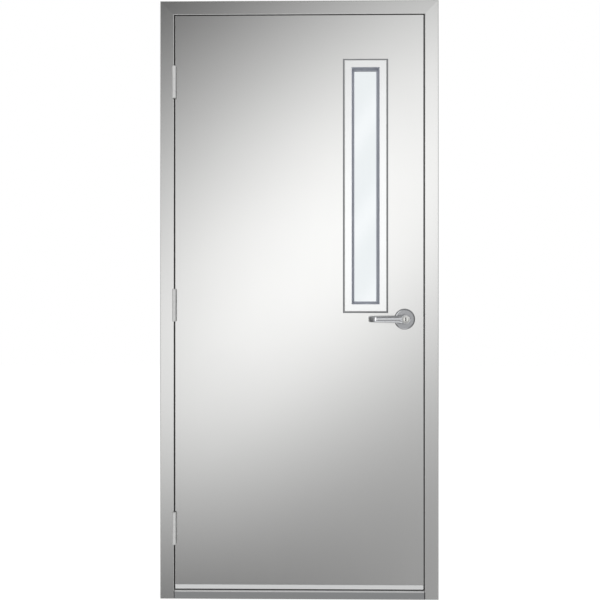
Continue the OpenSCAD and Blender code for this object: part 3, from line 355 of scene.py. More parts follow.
# %% [markdown]
# The places are those of the countersunk holes in the solids. Each hinge leaf has its holes in two rows,
# strike and latch plate have one above and one below the latch, and the sill, the shoe and the back trim of
# the lite have theirs spread along their length.

# %% Screws of the hinges, strike and latch
RABBET_X, LEAF_X = 457.2, 454.025
HINGE_ZS = (259.0, 1072.8, 1886.6)
OUTER_ROW, INNER_ROW = -54.725, -40.725
HINGE_HOLES = ((INNER_ROW, 42), (INNER_ROW, -42), (OUTER_ROW, 17), (OUTER_ROW, -17))
STRIKE_RISE, LATCH_RISE = 52.4, 20.65
mid_y, lock_mm = leaf_mid / MM, lock_z / MM
hinge_holes = [(y, z + rise) for z in HINGE_ZS for y, rise in HINGE_HOLES]
screw_pieces = [
    screws("frame_hinge_screw_heads", "frame", "frame_hinge_screws",
           [(-RABBET_X, y, z) for y, z in hinge_holes], (1, 0, 0), HINGE_SCREW),
    screws("door_hinge_screw_heads", "door", "door_hinge_screws",
           [(-LEAF_X, y, z) for y, z in hinge_holes], (-1, 0, 0), HINGE_SCREW),
    screws("strike_screw_heads", "frame", "strike_screws",
           [(RABBET_X, mid_y, lock_mm + s * STRIKE_RISE) for s in (-1, 1)], (-1, 0, 0), SMALL_SCREW),
    screws("latch_screw_heads", "door", "latch_screws",
           [(LEAF_X, mid_y, lock_mm + s * LATCH_RISE) for s in (-1, 1)], (1, 0, 0), SMALL_SCREW),
]

# %% Screws of the sill and shoe
SILL_SCREW = (8, 4, 31)
SILL_H, SILL_SCREW_Y, SILL_SCREW_X = 31.0, -47.025, 375.0
SHOE_Z, SHOE_SCREW_X = 37.0, 400.025
sill_holes = [(x, SILL_SCREW_Y, SILL_H) for x in np.linspace(-SILL_SCREW_X, SILL_SCREW_X, 4)]
shoe_holes = [(x, mid_y, SHOE_Z) for x in np.linspace(-SHOE_SCREW_X, SHOE_SCREW_X, 5)]
screw_pieces += [
    screws("sill_screw_heads", "frame", "sill_screws", sill_holes, (0, 0, 1), SILL_SCREW),
    screws("shoe_screw_heads", "door", "shoe_screws", shoe_holes, (0, 0, -1), SMALL_SCREW),
]

# %% Screws of the lite
LITE_SCREW = (8, 4, 44)
TRIM_W, LITE_SCREW_OUT, LITE_SCREW_IN = 28.6, 9.0, 161.8
lite_low, lite_high = (np.array(c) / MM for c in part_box("lite_frame_back"))
lite_mid = (lite_low + lite_high) / 2
trim_half = (lite_high - lite_low) / 2
clear_half = trim_half - TRIM_W
side_xs = lite_mid[0] + np.array([-1, 1]) * (clear_half[0] + LITE_SCREW_OUT)
side_zs = lite_mid[2] + np.array([-1, 0, 1]) * (clear_half[2] - LITE_SCREW_IN)
end_zs = lite_mid[2] + np.array([-1, 1]) * (clear_half[2] + LITE_SCREW_OUT)
lite_holes = [(x, lite_high[1], z) for x in side_xs for z in side_zs]
lite_holes += [(lite_mid[0], lite_high[1], z) for z in end_zs]
screw_pieces.append(screws("lite_screw_heads", "door", "lite_screws", lite_holes, (0, 1, 0), LITE_SCREW))

# %% [markdown]
# ## Seal in the gap, as painted shade
# The gap between leaf and frame is nearly black in the photograph. A black seal glued into the corner where
# the stop meets the rabbet, at the bottom of the gap, stands in for that dark: it is painted shade for the
# depth of the gap. It is a quarter-round profile carried up one jamb, along the head and down the other, with
# mitred corners.

# %% Seal along the rabbet
RABBET_Z, STOP_Y, SEAL_FOOT = 2133.6, -23.825, SILL_H + 0.4


def rabbet_seal(size=2.75, glue=0.05, steps=10):
    """Profile points (d, y): a quarter circle of the given size in the corner, off both faces by the glue, d
    measured from the rabbet into the opening. A path point is the corner moved by d along both inward
    normals, which mitres it."""
    a = np.linspace(0, np.pi / 2, steps)
    d = np.concatenate([[glue], glue + size * np.sin(a)])
    y = STOP_Y - np.concatenate([[glue], glue + size * np.cos(a)])
    x_of = np.stack([-RABBET_X + d, -RABBET_X + d, RABBET_X - d, RABBET_X - d])
    z_of = np.stack([0 * d + SEAL_FOOT, RABBET_Z - d, RABBET_Z - d, 0 * d + SEAL_FOOT])
    rows = np.stack([x_of, np.broadcast_to(y, x_of.shape), z_of], -1) * MM
    cap = rows.mean(1, keepdims=True).repeat(rows.shape[1], 1)
    return np.concatenate([cap[:1], rows, cap[-1:]])


# The black seal is painted shade at the bottom of the gap between leaf and frame.
gap_shade_seal = surface("rabbet_seal_painted_shade", [rabbet_seal()])
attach(gap_shade_seal, "frame")

# %% [markdown]
# ## Corner pads of the sill
# Where the sill meets a jamb, a black foam pad closes the joint. In the photograph it carries the dark line
# of the gap down to the floor: the pad is painted shade for that gap. The pad is a small rectangle carried
# along the front outline of the sill: up its face, then round the quarter circle of its nose. It laps over
# the end of the sill and is pressed against the round bend of the jamb.

# %% Pads at both ends of the sill
def corner_pad(side, lap=0.8, past=1.5, proud=0.35, deep=0.8, foot=1.0, nose_r=7.0, steps=10):
    """A small rectangle, carried up the face of the sill and round its nose. Row: a point on that outline
    with its angle a, so that a corner at distance out lies at centre + (nose_r + out) (-cos a, sin a)."""
    sill_low, sill_high = (np.array(c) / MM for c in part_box("sill"))
    a = np.concatenate([[0], np.linspace(0, np.pi / 2, steps)])[:, None]
    centre_z = np.where(np.arange(steps + 1) == 0, foot, sill_high[2] - nose_r)[:, None]
    out = np.array([proud, proud, -deep, -deep])
    jamb, sill_end = RABBET_X + past, sill_high[0] - lap
    x = side * np.array([jamb, sill_end, sill_end, jamb])
    y = sill_low[1] + nose_r - (nose_r + out) * np.cos(a)
    rows = np.stack([np.broadcast_to(x, y.shape), y, centre_z + (nose_r + out) * np.sin(a)], -1) * MM
    cap = rows.mean(1, keepdims=True).repeat(4, 1)
    return np.concatenate([cap[:1], rows, cap[-1:]])


# The black pads are painted shade in the gap where sill meets jamb.
gap_shade_pads = surface("sill_corner_pads_painted_shade", [corner_pad(-1), corner_pad(1)])
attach(gap_shade_pads, "frame")

# %% [markdown]
# ## Sealant round the lite
# The trim of the lite is bedded on a thin grey bead of sealant. Its grey is painted shade: it draws the dark
# line of the trim's shaded outer edge round it. A second bead, the cap bead, is drawn over the joint of
# gasket and glass, so that water runs off. Both have the section of a quarter ellipse and are carried round a
# rectangle with mitred corners. The rectangle of the cap bead is the inner edge of the gasket, found as its
# points nearest to the middle of the lite.

# %% Beads on both faces of the leaf
TRIM_SHADE_BEAD, CAP_BEAD = (3.0, 1.2), (3.2, 1.6)


def bead(face_y, out, half, way, sizes, under=0.4, lift=0.02, steps=8):
    """Profile points (d, h): a quarter ellipse of a width and a height, d measured from the edge to the
    outside (way 1) or to the inside (way -1) and h out of the face. It reaches under the edge a little and
    is lifted off the face by a hair. Each path corner moves by d along x and z, which mitres it."""
    width, height = sizes
    a = np.linspace(0, np.pi / 2, steps)
    d = way * np.concatenate([[-under], width * np.cos(a), [-under]])
    h = np.concatenate([[lift], height * np.sin(a) + lift, [height + lift]])
    sx, sz = np.array([-1, 1, 1, -1, -1]), np.array([-1, -1, 1, 1, -1])
    x = lite_mid[0] + sx[:, None] * (half[0] + d)
    z = lite_mid[2] + sz[:, None] * (half[2] + d)
    y = np.broadcast_to(face_y / MM + out * h, x.shape)
    return np.stack([x, y, z], -1) * MM


gasket_points = np.empty(3 * len(nodes["lite_tape_front"].data.vertices))
nodes["lite_tape_front"].data.vertices.foreach_get("co", gasket_points)
glass_half = np.abs(gasket_points.reshape(-1, 3) / MM - lite_mid).min(0)
glass_front, glass_back = (c.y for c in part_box("lite_glass"))
# The grey beads round the trim are painted shade: they draw the dark line of the trim's shaded outer edge.
trim_shade_beads = [surface("lite_shade_sealant_front", [bead(leaf_front, -1, trim_half, 1, TRIM_SHADE_BEAD)]),
              surface("lite_shade_sealant_back", [bead(leaf_back, 1, trim_half, 1, TRIM_SHADE_BEAD)])]
cap_beads = [surface("lite_cap_bead_front", [bead(glass_front, -1, glass_half, -1, CAP_BEAD)]),
             surface("lite_cap_bead_back", [bead(glass_back, 1, glass_half, -1, CAP_BEAD)])]
for piece in trim_shade_beads + cap_beads:
    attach(piece, "door")
print("glass opening", (2 * glass_half[[0, 2]]).round(1), "mm")

# %% [markdown]
# ## Finishes
# A finish starts from what the real material is. Colours are written as sRGB hex values, the way a paint
# chart gives them, and one function turns them into the linear values that the shader needs. A second
# function adds a node, sets its values and makes its links, so each material below reads as a short list.

# %% Colour and node helpers
def linear(code):
    """sRGB hex to linear: c / 12.92 up to 0.04045, otherwise ((c + 0.055) / 1.055)^2.4, with alpha 1."""
    c = np.array([int(code[i:i + 2], 16) for i in (1, 3, 5)]) / 255
    return (*np.where(c <= 0.04045, c / 12.92, ((c + 0.055) / 1.055) ** 2.4), 1.0)


def add(tree, kind, inputs=(), **settings):
    """A node of a kind, with settings as attributes. Inputs are a list in the order of the sockets, or a dict
    by the name or number of a socket: another node's socket is linked, a value is set."""
    node = tree.nodes.new("ShaderNode" + kind)
    for key, value in settings.items():
        setattr(node, key, value)
    pairs = inputs.items() if isinstance(inputs, dict) else enumerate(inputs)
    for key, value in pairs:
        if isinstance(value, bpy.types.NodeSocket):
            tree.links.new(value, node.inputs[key])
        else:
            node.inputs[key].default_value = value
    return node


def new_material(name, sockets):
    """A material with its tree cleared, a Principled shader on its output, and Object coordinates."""
    material = bpy.data.materials.new(name)
    material.use_nodes = True
    tree = material.node_tree
    tree.nodes.clear()
    shader = add(tree, "BsdfPrincipled", sockets)
    add(tree, "OutputMaterial", {"Surface": shader.outputs[0]})
    return material, tree, shader, add(tree, "TexCoord").outputs["Object"]


def dress(tree, shader, tone, rough, bump):
    """Links a colour, a roughness and a bump to the shader."""
    tree.links.new(tone.outputs[2], shader.inputs["Base Color"])
    tree.links.new(rough.outputs[0], shader.inputs["Roughness"])
    tree.links.new(bump.outputs[0], shader.inputs["Normal"])


print("middle grey #808080 in linear:", round(linear("#808080")[0], 3))

# %% [markdown]
# ### Brushed stainless
# The sheets are stainless steel with a number 4 finish: a belt leaves fine scratches along the sheet.
# The eye gets a soft grey mirror, a little softer across the grain, with faint long streaks. Real
# scratches are about 0.05 mm wide, too fine for this picture, so the streaks are drawn 1.2 mm wide.
# The grain of the uprights and skins runs along Z, that of the head along X.

# %% Brushed stainless, along Z or X
BUMP_M = 0.0002


def brushed_stainless(name, along, dark, light, streak_mm=1.2, length_mm=180.0, cloud_mm=260.0):
    """Noise stretched along one axis gives the streaks, and wide noise a slow change of gloss."""
    material, tree, shader, where = new_material(name, {"Metallic": 1.0})
    scale = [1000 / streak_mm] * 3
    scale[along] = 1000 / length_mm
    stretched = add(tree, "Mapping", {"Vector": where, "Scale": scale}).outputs[0]
    grain = {"Vector": stretched, "Scale": 1.0, "Detail": 3.0, "Roughness": 0.6}
    streak = add(tree, "TexNoise", grain).outputs[0]
    cloud = add(tree, "TexNoise", {"Vector": where, "Scale": 1000 / cloud_mm, "Detail": 2.0}).outputs[0]
    softened = add(tree, "MapRange", {"Value": streak, "To Min": 0.25, "To Max": 0.75}).outputs[0]
    tone = add(tree, "Mix", {"Factor": softened, 6: linear(dark), 7: linear(light)}, data_type="RGBA")
    grain_rough = add(tree, "MapRange", {"Value": streak, "To Min": 0.15, "To Max": 0.19}).outputs[0]
    cloud_rough = add(tree, "MapRange", {"Value": cloud, "To Min": -0.01, "To Max": 0.01}).outputs[0]
    rough = add(tree, "Math", [grain_rough, cloud_rough], operation="ADD")
    bump = add(tree, "Bump", {"Height": streak, "Strength": 0.012, "Distance": BUMP_M})
    dress(tree, shader, tone, rough, bump)
    return material


upright_steel = brushed_stainless("brushed_stainless_upright", 2, "#CCCCCB", "#D2D2D1")
head_steel = brushed_stainless("brushed_stainless_head", 0, "#C4C4C3", "#CACAC9")
print("made", upright_steel.name, head_steel.name)

# %% [markdown]
# ### Satin metals
# Hinges, strike and face plate are satin stainless, the levers are satin chrome over a casting, the roses are
# pressed and plated, in a chrome made darker as painted shade for the darker room that a domed rose
# mirrors, the screws are stainless wire goods and the plug is nickel plated brass.
# All are evenly fine: a blasted or tumbled surface without a direction. One recipe serves them, with its own
# colour, gloss and grain size. The hinges are blasted so matt that they scatter more light than they mirror,
# so their metallic share is low.

# %% Satin metals from one recipe
def satin_metal(name, dark, light, rough, grain_mm, bump_strength, metallic=1.0, wear_mm=18.0):
    """Fine noise gives the grain, and coarser noise the worn places, a little paler and less glossy."""
    material, tree, shader, where = new_material(name, {"Metallic": metallic})
    grain = add(tree, "TexNoise", {"Vector": where, "Scale": 1000 / grain_mm, "Detail": 3.0}).outputs[0]
    wear = add(tree, "TexNoise", {"Vector": where, "Scale": 1000 / wear_mm, "Detail": 2.0}).outputs[0]
    tone = add(tree, "Mix", {"Factor": wear, 6: linear(dark), 7: linear(light)}, data_type="RGBA")
    gloss = add(tree, "MapRange", {"Value": wear, "To Min": rough - 0.04, "To Max": rough + 0.04})
    bump = add(tree, "Bump", {"Height": grain, "Strength": bump_strength, "Distance": BUMP_M})
    dress(tree, shader, tone, gloss, bump)
    return material


hinge_steel = satin_metal("blasted_stainless", "#CFCFCE", "#D7D7D6", 0.45, 0.6, 0.06, 0.3)
lock_chrome = satin_metal("satin_chrome_plate", "#A3A4A6", "#ACADAF", 0.22, 0.5, 0.03)
# The roses' darker chrome is painted shade: a flat rose given the darker reflections of a domed one.
rose_chrome_shaded = satin_metal("satin_chrome_rose_painted_shade", "#929395", "#9B9C9E", 0.22, 0.5, 0.03)
screw_steel = satin_metal("stainless_screw", "#B8B8B7", "#C6C6C4", 0.28, 0.5, 0.04)
plug_nickel = satin_metal("nickel_plated_brass", "#CFCFCD", "#D9D9D7", 0.22, 0.5, 0.03)
print("made", hinge_steel.name, lock_chrome.name, rose_chrome_shaded.name, screw_steel.name, plug_nickel.name)

# %% [markdown]
# ### Galvanised steel
# The plates, channels and anchors inside are zinc coated by dipping. Zinc cools in flat crystals a
# few millimetres wide, the spangle, and each crystal has its own grey and gloss. A Voronoi pattern with
# one value per cell gives that.

# %% Galvanised steel
def galvanised_steel(spangle_mm=7.0):
    """One random value per Voronoi cell sets both the grey and the gloss of that crystal."""
    material, tree, shader, where = new_material("galvanised_spangle_steel", {"Metallic": 1.0})
    cell = add(tree, "TexVoronoi", {"Vector": where, "Scale": 1000 / spangle_mm}).outputs["Color"]
    value = add(tree, "SeparateColor", {"Color": cell}).outputs[0]
    tone = add(tree, "Mix", {"Factor": value, 6: linear("#9EA2A6"), 7: linear("#BFC2C4")}, data_type="RGBA")
    gloss = add(tree, "MapRange", {"Value": value, "To Min": 0.34, "To Max": 0.52})
    tree.links.new(tone.outputs[2], shader.inputs["Base Color"])
    tree.links.new(gloss.outputs[0], shader.inputs["Roughness"])
    return material


zinc = galvanised_steel()
print("made", zinc.name)

# %% [markdown]
# ### Aluminium extrusions
# Sill and shoe are extruded aluminium. Drawing the metal through a die leaves fine lines along the
# length. The shoe has a coat of silver lacquer, pale and even from any side. The sill is anodised: a clear
# film on etched metal, half matt and half mirror, which stays an even grey too. Its round nose is painted
# pale: a painted highlight where the nose catches the light from above.

# %% Extruded aluminium
NOSE_LOW, NOSE_HIGH = 0.0245, 0.0275


def extruded_aluminium(name, dark, light, rough, metallic, nose_highlight=None, line_mm=0.8, length_mm=400.0):
    """Noise stretched along X gives the die lines. A paler colour, a painted highlight, takes over with the
    height of the nose.
    """
    material, tree, shader, where = new_material(name, {"Metallic": metallic})
    scale = (1000 / length_mm, 1000 / line_mm, 1000 / line_mm)
    lines = add(tree, "Mapping", {"Vector": where, "Scale": scale}).outputs[0]
    die = add(tree, "TexNoise", {"Vector": lines, "Scale": 1.0, "Detail": 2.0}).outputs[0]
    tone = add(tree, "Mix", {"Factor": die, 6: linear(dark), 7: linear(light)}, data_type="RGBA")
    # The pale nose colour is a painted highlight, where the round nose catches the light from above.
    if nose_highlight:
        height = add(tree, "SeparateXYZ", [where]).outputs["Z"]
        rise = {"Value": height, "From Min": NOSE_LOW, "From Max": NOSE_HIGH}
        nose = add(tree, "MapRange", rise).outputs[0]
        tone = add(tree, "Mix", {"Factor": nose, 6: tone.outputs[2], 7: linear(nose_highlight)}, data_type="RGBA")
    gloss = add(tree, "MapRange", {"Value": die, "To Min": rough - 0.05, "To Max": rough + 0.05})
    bump = add(tree, "Bump", {"Height": die, "Strength": 0.08, "Distance": BUMP_M})
    dress(tree, shader, tone, gloss, bump)
    return material


shoe_metal = extruded_aluminium("silver_lacquered_aluminium", "#CDCECE", "#D5D6D6", 0.42, 0.0)
# The pale #E4E4E4 on the sill's nose is a painted highlight.
sill_metal = extruded_aluminium("grey_anodised_aluminium", "#898A8B", "#939495", 0.45, 0.5, "#E4E4E4")
print("made", shoe_metal.name, sill_metal.name)

# %% [markdown]
# ### Trim of the lite
# The trim is folded from bright zinc coated sheet under a clear lacquer. It mirrors the studio like the leaf,
# but paler, and its bevels turn to other parts of the room, which draws the grey lines round it. The lacquer
# has a slight orange peel, waves about 2 mm long. It scatters some light, so the metallic share is 0.8.

# %% Clear lacquer over bright sheet
SOFT_BUMP_M = 0.0003


def lacquered_sheet(peel_mm=2.0, cloud_mm=120.0):
    """Noise at the size of the orange peel gives bump and gloss, and wide noise a slow change of tone."""
    material, tree, shader, where = new_material("clear_lacquered_bright_sheet", {"Metallic": 0.8})
    peel = add(tree, "TexNoise", {"Vector": where, "Scale": 1000 / peel_mm, "Detail": 1.0}).outputs[0]
    cloud = add(tree, "TexNoise", {"Vector": where, "Scale": 1000 / cloud_mm, "Detail": 2.0}).outputs[0]
    tone = add(tree, "Mix", {"Factor": cloud, 6: linear("#E6E7E7"), 7: linear("#ECEDED")}, data_type="RGBA")
    gloss = add(tree, "MapRange", {"Value": peel, "To Min": 0.2, "To Max": 0.26})
    bump = add(tree, "Bump", {"Height": peel, "Strength": 0.02, "Distance": SOFT_BUMP_M})
    dress(tree, shader, tone, gloss, bump)
    return material


trim_metal = lacquered_sheet()
print("made", trim_metal.name)

# %% [markdown]
# ### Glass
# The lite holds toughened float glass. Iron in the glass gives it a faint cool tint. The photograph shows two
# soft slanting bands on it, about 340 mm apart in height, where the pane mirrors the studio a little more.
# A wave across slanted bands mixes two close tints: a painted reflection of the studio on the pane. It is
# squared, so that its crests are narrower than its troughs.

# %% Toughened glass
REFLECTION_CREST_Z = 1.393


def toughened_glass(reflection_band_mm=197.0, slant=math.radians(55)):
    """The painted reflection: the square of a sine wave across bands that are turned about Y through the
    crest.
    """
    body = {"Roughness": 0.0, "IOR": 1.52, "Transmission Weight": 1.0}
    material, tree, shader, where = new_material("toughened_float_glass", body)
    crest = (lite_mid[0] * MM, 0.0, REFLECTION_CREST_Z)
    centred = add(tree, "VectorMath", [where, crest], operation="SUBTRACT").outputs[0]
    slanted = add(tree, "Mapping", {"Vector": centred, "Rotation": (0, slant, 0)}).outputs[0]
    turns = math.tau / 20 * 1000 / reflection_band_mm
    shape = {"Vector": slanted, "Scale": turns, "Distortion": 0.0, "Phase Offset": math.pi}
    wave = add(tree, "TexWave", shape, bands_direction="Z").outputs[1]
    narrow = add(tree, "Math", [wave, 2.0], operation="POWER").outputs[0]
    # The two tints mixed in bands are a painted reflection of the studio.
    reflection_tint = add(tree, "Mix", {"Factor": narrow, 6: linear("#E9EEF0"), 7: linear("#F1F5F7")}, data_type="RGBA")
    tree.links.new(reflection_tint.outputs[2], shader.inputs["Base Color"])
    return material


glass = toughened_glass()
print("made", glass.name)

# %% [markdown]
# ### Rubbers, sealants, plastic and paper
# Soft and plain parts are matt: black vinyl seals, grey rubber silencers, silicone sealants, blue-grey
# glazing gaskets, the black moulded dust box, the kraft paper core and the dark walls of the keyway. The
# black seal and pads in the gaps of the frame, the grey sealant round the trim and the dark keyway are
# painted shade. They share one recipe of a mottled colour with a fine bump, each at the grain of its own
# surface.

# %% Matt parts from one recipe
def matt(name, dark, light, rough, grain_mm, bump_strength, ior, mottle_mm=25.0):
    """Fine noise gives bump and gloss, and coarser noise mixes the two colours."""
    material, tree, shader, where = new_material(name, {"IOR": ior})
    grain = add(tree, "TexNoise", {"Vector": where, "Scale": 1000 / grain_mm, "Detail": 4.0}).outputs[0]
    mottle = add(tree, "TexNoise", {"Vector": where, "Scale": 1000 / mottle_mm, "Detail": 3.0}).outputs[0]
    tone = add(tree, "Mix", {"Factor": mottle, 6: linear(dark), 7: linear(light)}, data_type="RGBA")
    gloss = add(tree, "MapRange", {"Value": grain, "To Min": rough - 0.06, "To Max": rough + 0.06})
    bump = add(tree, "Bump", {"Height": grain, "Strength": bump_strength, "Distance": SOFT_BUMP_M})
    dress(tree, shader, tone, gloss, bump)
    return material


# Black vinyl is the real colour of the shoe seal; on the seal and pads in the gaps of the frame it is painted
# shade.
black_vinyl_and_gap_shade = matt("black_vinyl_seal_and_gap_shade", "#0D0D0E", "#161617", 0.62, 0.5, 0.1, 1.53)
silencer_rubber = matt("grey_silencer_rubber", "#8B8C8D", "#989999", 0.7, 0.6, 0.1, 1.52)
# The grey sealant is painted shade along the trim's outer edge.
shade_sealant = matt("grey_sealant_painted_shade", "#707274", "#7B7D7F", 0.5, 1.5, 0.08, 1.41)
cap_sealant = matt("blue_grey_cap_sealant", "#9EA2AB", "#A8ACB5", 0.5, 1.5, 0.08, 1.41)
gasket = matt("blue_grey_glazing_gasket", "#9EA2AC", "#A8ACB6", 0.7, 0.8, 0.1, 1.52)
dust_plastic = matt("black_moulded_plastic", "#17171A", "#1E1E21", 0.45, 0.4, 0.12, 1.49)
kraft = matt("kraft_paper_core", "#A98B60", "#B99B70", 0.85, 1.2, 0.2, 1.5)
# The dark keyway material is painted shade for the deep, narrow slot.
keyway_shade = matt("dark_keyway_painted_shade", "#141312", "#1E1C1A", 0.6, 0.5, 0.05, 1.47)
print("made", black_vinyl_and_gap_shade.name, silencer_rubber.name, shade_sealant.name, cap_sealant.name, gasket.name)
print("made", dust_plastic.name, kraft.name, keyway_shade.name)

# %% [markdown]
# ## Which finish goes where
# Each CAD node keeps its shape and takes a material by name. A new piece takes the material of the node
# it stands for.

# %% Assign the materials
finish_of = {
    upright_steel: ["hinge_jamb", "strike_jamb", "front_skin", "back_skin"],
    head_steel: ["head"],
    hinge_steel: ["hinge_frame_leaves", "hinge_door_leaves", "hinge_pins", "strike_plate", "latch_faceplate",
                  "latch_bolt"],
    lock_chrome: ["outside_lever", "inside_lever", outside, inside],
    rose_chrome_shaded: ["outside_rose", "inside_rose"],
    plug_nickel: ["key_cylinder", "key_plug", plug],
    screw_steel: ["strike_screws", "sill_screws", "frame_hinge_screws", "door_hinge_screws", "lite_screws",
                  "shoe_screws", "latch_screws", *screw_pieces],
    zinc: ["frame_hinge_plates", "strike_backing", "hinge_side_anchors", "strike_side_anchors",
           "floor_anchors", "top_channel", "bottom_channel", "door_hinge_plates", "lock_reinforcement",
           "lock_chassis", "latch_tube"],
    trim_metal: ["lite_frame_front", "lite_frame_back"],
    glass: ["lite_glass"],
    gasket: ["lite_tape_front", "lite_tape_back"],
    black_vinyl_and_gap_shade: ["shoe_seal", gap_shade_seal, gap_shade_pads],
    silencer_rubber: ["silencers"],
    shade_sealant: trim_shade_beads,
    cap_sealant: cap_beads,
    shoe_metal: ["door_shoe"],
    sill_metal: ["sill"],
    dust_plastic: ["dust_box"],
    kraft: ["door_core"],
}
dressed = set()
for material, targets in finish_of.items():
    for target in targets:
        thing = nodes[target] if isinstance(target, str) else target
        dressed.add(thing.name)
        thing.data.materials.clear()
        thing.data.materials.append(material)
print("dressed:", len(dressed), "undressed nodes:", [n for n, o in nodes.items() if o.name not in dressed])

# %% [markdown]
# The walls of the keyway take a dark material: painted shade for the deep, narrow slot. They belong to the
# plug's mesh, so its faces are sorted by depth and by distance from the axis, and the inner ones take a
# second material.

# %% Dark walls inside the keyway
DARK_DEPTH, DARK_R = 0.2, 7.2
plug.data.materials.append(keyway_shade)
centres = np.empty(3 * len(plug.data.polygons))
plug.data.polygons.foreach_get("center", centres)
plug_x, plug_y, plug_z = centres.reshape(-1, 3).T / MM
below_face = plug_y - (leaf_front / MM - PLUG_FRONT)
off_axis = np.hypot(plug_x - lock_x / MM, plug_z - lock_z / MM)
in_keyway = (below_face > DARK_DEPTH) & (off_axis < DARK_R)
plug.data.polygons.foreach_set("material_index", in_keyway.astype(int))
print("dark faces of the plug:", in_keyway.sum(), "of", len(in_keyway))

# %% [markdown]
# ## Floor, light and backdrop
# A steel door shows its surroundings. In the photograph a soft bright band lies across the leaf, from the
# lower left to the upper right, and the steel falls off to grey at the foot and at the upper left. That
# is one big soft light in a dim studio, mirrored in the sheet. Here the world holds that soft light for
# mirror rays, as a smooth bell across the view. Camera rays and rays through the glass see white paper.
# First the ray's direction is turned into the place, across and up the picture, where the leaf mirrors it.

# %% World: where a mirror ray lands in the picture
VIEW, ASIDE, WIDEST, SHALLOWEST = 3.65, 0.06, 0.9, 0.08
world = bpy.data.worlds.new("studio")
bpy.context.scene.world = world
world.use_nodes = True
sky = world.node_tree
sky.nodes.clear()
ray = add(sky, "SeparateXYZ", [add(sky, "TexCoord").outputs["Generated"]]).outputs
ahead = add(sky, "Math", [ray["Y"]], operation="ABSOLUTE").outputs[0]
depth = add(sky, "Math", [ahead, SHALLOWEST], operation="MAXIMUM").outputs[0]
side_slope = add(sky, "Math", [ray["X"], depth], operation="DIVIDE").outputs[0]
up_slope = add(sky, "Math", [ray["Z"], depth], operation="DIVIDE").outputs[0]
across = add(sky, "Math", [side_slope, VIEW, ASIDE], operation="MULTIPLY_ADD").outputs[0]
across = add(sky, "Math", [across, -WIDEST], operation="MAXIMUM").outputs[0]
across = add(sky, "Math", [across, WIDEST], operation="MINIMUM").outputs[0]
up = add(sky, "Math", [up_slope, VIEW], operation="MULTIPLY").outputs[0]
print("world nodes:", len(sky.nodes))

# %% [markdown]
# The band's crest is a bowed and tilted line. The light falls off from it as a bell, exp(-r^2 / 2), where r
# is the distance up or down over a width that differs above and below. The bell mixes a dim level, which
# changes from left to right, with the glow along the crest, a parabola that is highest a little right of
# the middle.

# %% World: a soft band of light for the metal
BAND_HEIGHT, BAND_TILT, BAND_BOW = 0.07, 0.70, 0.19
BAND_GLOW, GLOW_CENTRE, GLOW_FALL = 1.78, 0.11, 0.7
ABOVE, BELOW = 0.77, 0.43
DIM_SLOPE, DIM_ABOVE, DIM_BELOW, DARKEST = 0.5, -0.58, 0.25, 0.03
tilt = add(sky, "Math", [across, BAND_BOW, BAND_TILT], operation="MULTIPLY_ADD").outputs[0]
crest = add(sky, "Math", [across, tilt, BAND_HEIGHT], operation="MULTIPLY_ADD").outputs[0]
off = add(sky, "Math", [up, crest], operation="SUBTRACT").outputs[0]
is_above = add(sky, "Math", [off, 0.0], operation="GREATER_THAN").outputs[0]
width = add(sky, "Math", [is_above, ABOVE - BELOW, BELOW], operation="MULTIPLY_ADD").outputs[0]
ratio = add(sky, "Math", [off, width], operation="DIVIDE").outputs[0]
ratio_squared = add(sky, "Math", [ratio, ratio], operation="MULTIPLY").outputs[0]
fall = add(sky, "Math", [ratio_squared, -0.5], operation="MULTIPLY").outputs[0]
bell = add(sky, "Math", [fall], operation="EXPONENT").outputs[0]
dim_above = add(sky, "Math", [across, -DIM_SLOPE, DIM_ABOVE], operation="MULTIPLY_ADD").outputs[0]
dim_below = add(sky, "Math", [across, DIM_SLOPE, DIM_BELOW], operation="MULTIPLY_ADD").outputs[0]
dim = add(sky, "Mix", {0: is_above, 2: dim_below, 3: dim_above}).outputs[0]
shift = add(sky, "Math", [across, GLOW_CENTRE], operation="SUBTRACT").outputs[0]
shift_squared = add(sky, "Math", [shift, shift], operation="MULTIPLY").outputs[0]
parabola = add(sky, "Math", [shift_squared, -GLOW_FALL, 1.0], operation="MULTIPLY_ADD").outputs[0]
glow = add(sky, "Math", [parabola, BAND_GLOW], operation="MULTIPLY").outputs[0]
lit = add(sky, "Mix", {0: bell, 2: dim, 3: glow}).outputs[0]
band = add(sky, "Math", [lit, DARKEST], operation="MAXIMUM").outputs[0]
print("world nodes:", len(sky.nodes))

# %% [markdown]
# The band is what the leaf mirrors when it is seen from the front. Seen at a slant, it mirrors side screens,
# paler towards the floor, and round edges mirror the rest of the room too: dim walls, a paler ceiling and
# some light off the floor. Painted and rubber parts scatter light instead, so their rays get a light that
# is strongest from the front right, with a little from below, thrown back by the paper on the floor.

# %% World: the rest of the room
BAND_TO_SCREENS, SCREENS_TO_ROOM = (0.93, 0.86), (0.72, 0.45)
LEAST_LIGHT = 0.08
folded = add(sky, "CombineXYZ", [ray["X"], ahead, ray["Z"]]).outputs[0]


def toward(way, base):
    """Light that grows towards a direction: base plus the dot product of the ray with the way."""
    dot = add(sky, "VectorMath", [folded, way], operation="DOT_PRODUCT").outputs["Value"]
    return add(sky, "Math", [dot, base], operation="ADD").outputs[0]


def turned_away(start, stop):
    """0 to 1 as the ray turns away from straight ahead, from one cosine to a smaller one."""
    limits = {"Value": ahead, "From Min": start, "From Max": stop}
    return add(sky, "MapRange", limits, interpolation_type="SMOOTHSTEP").outputs[0]


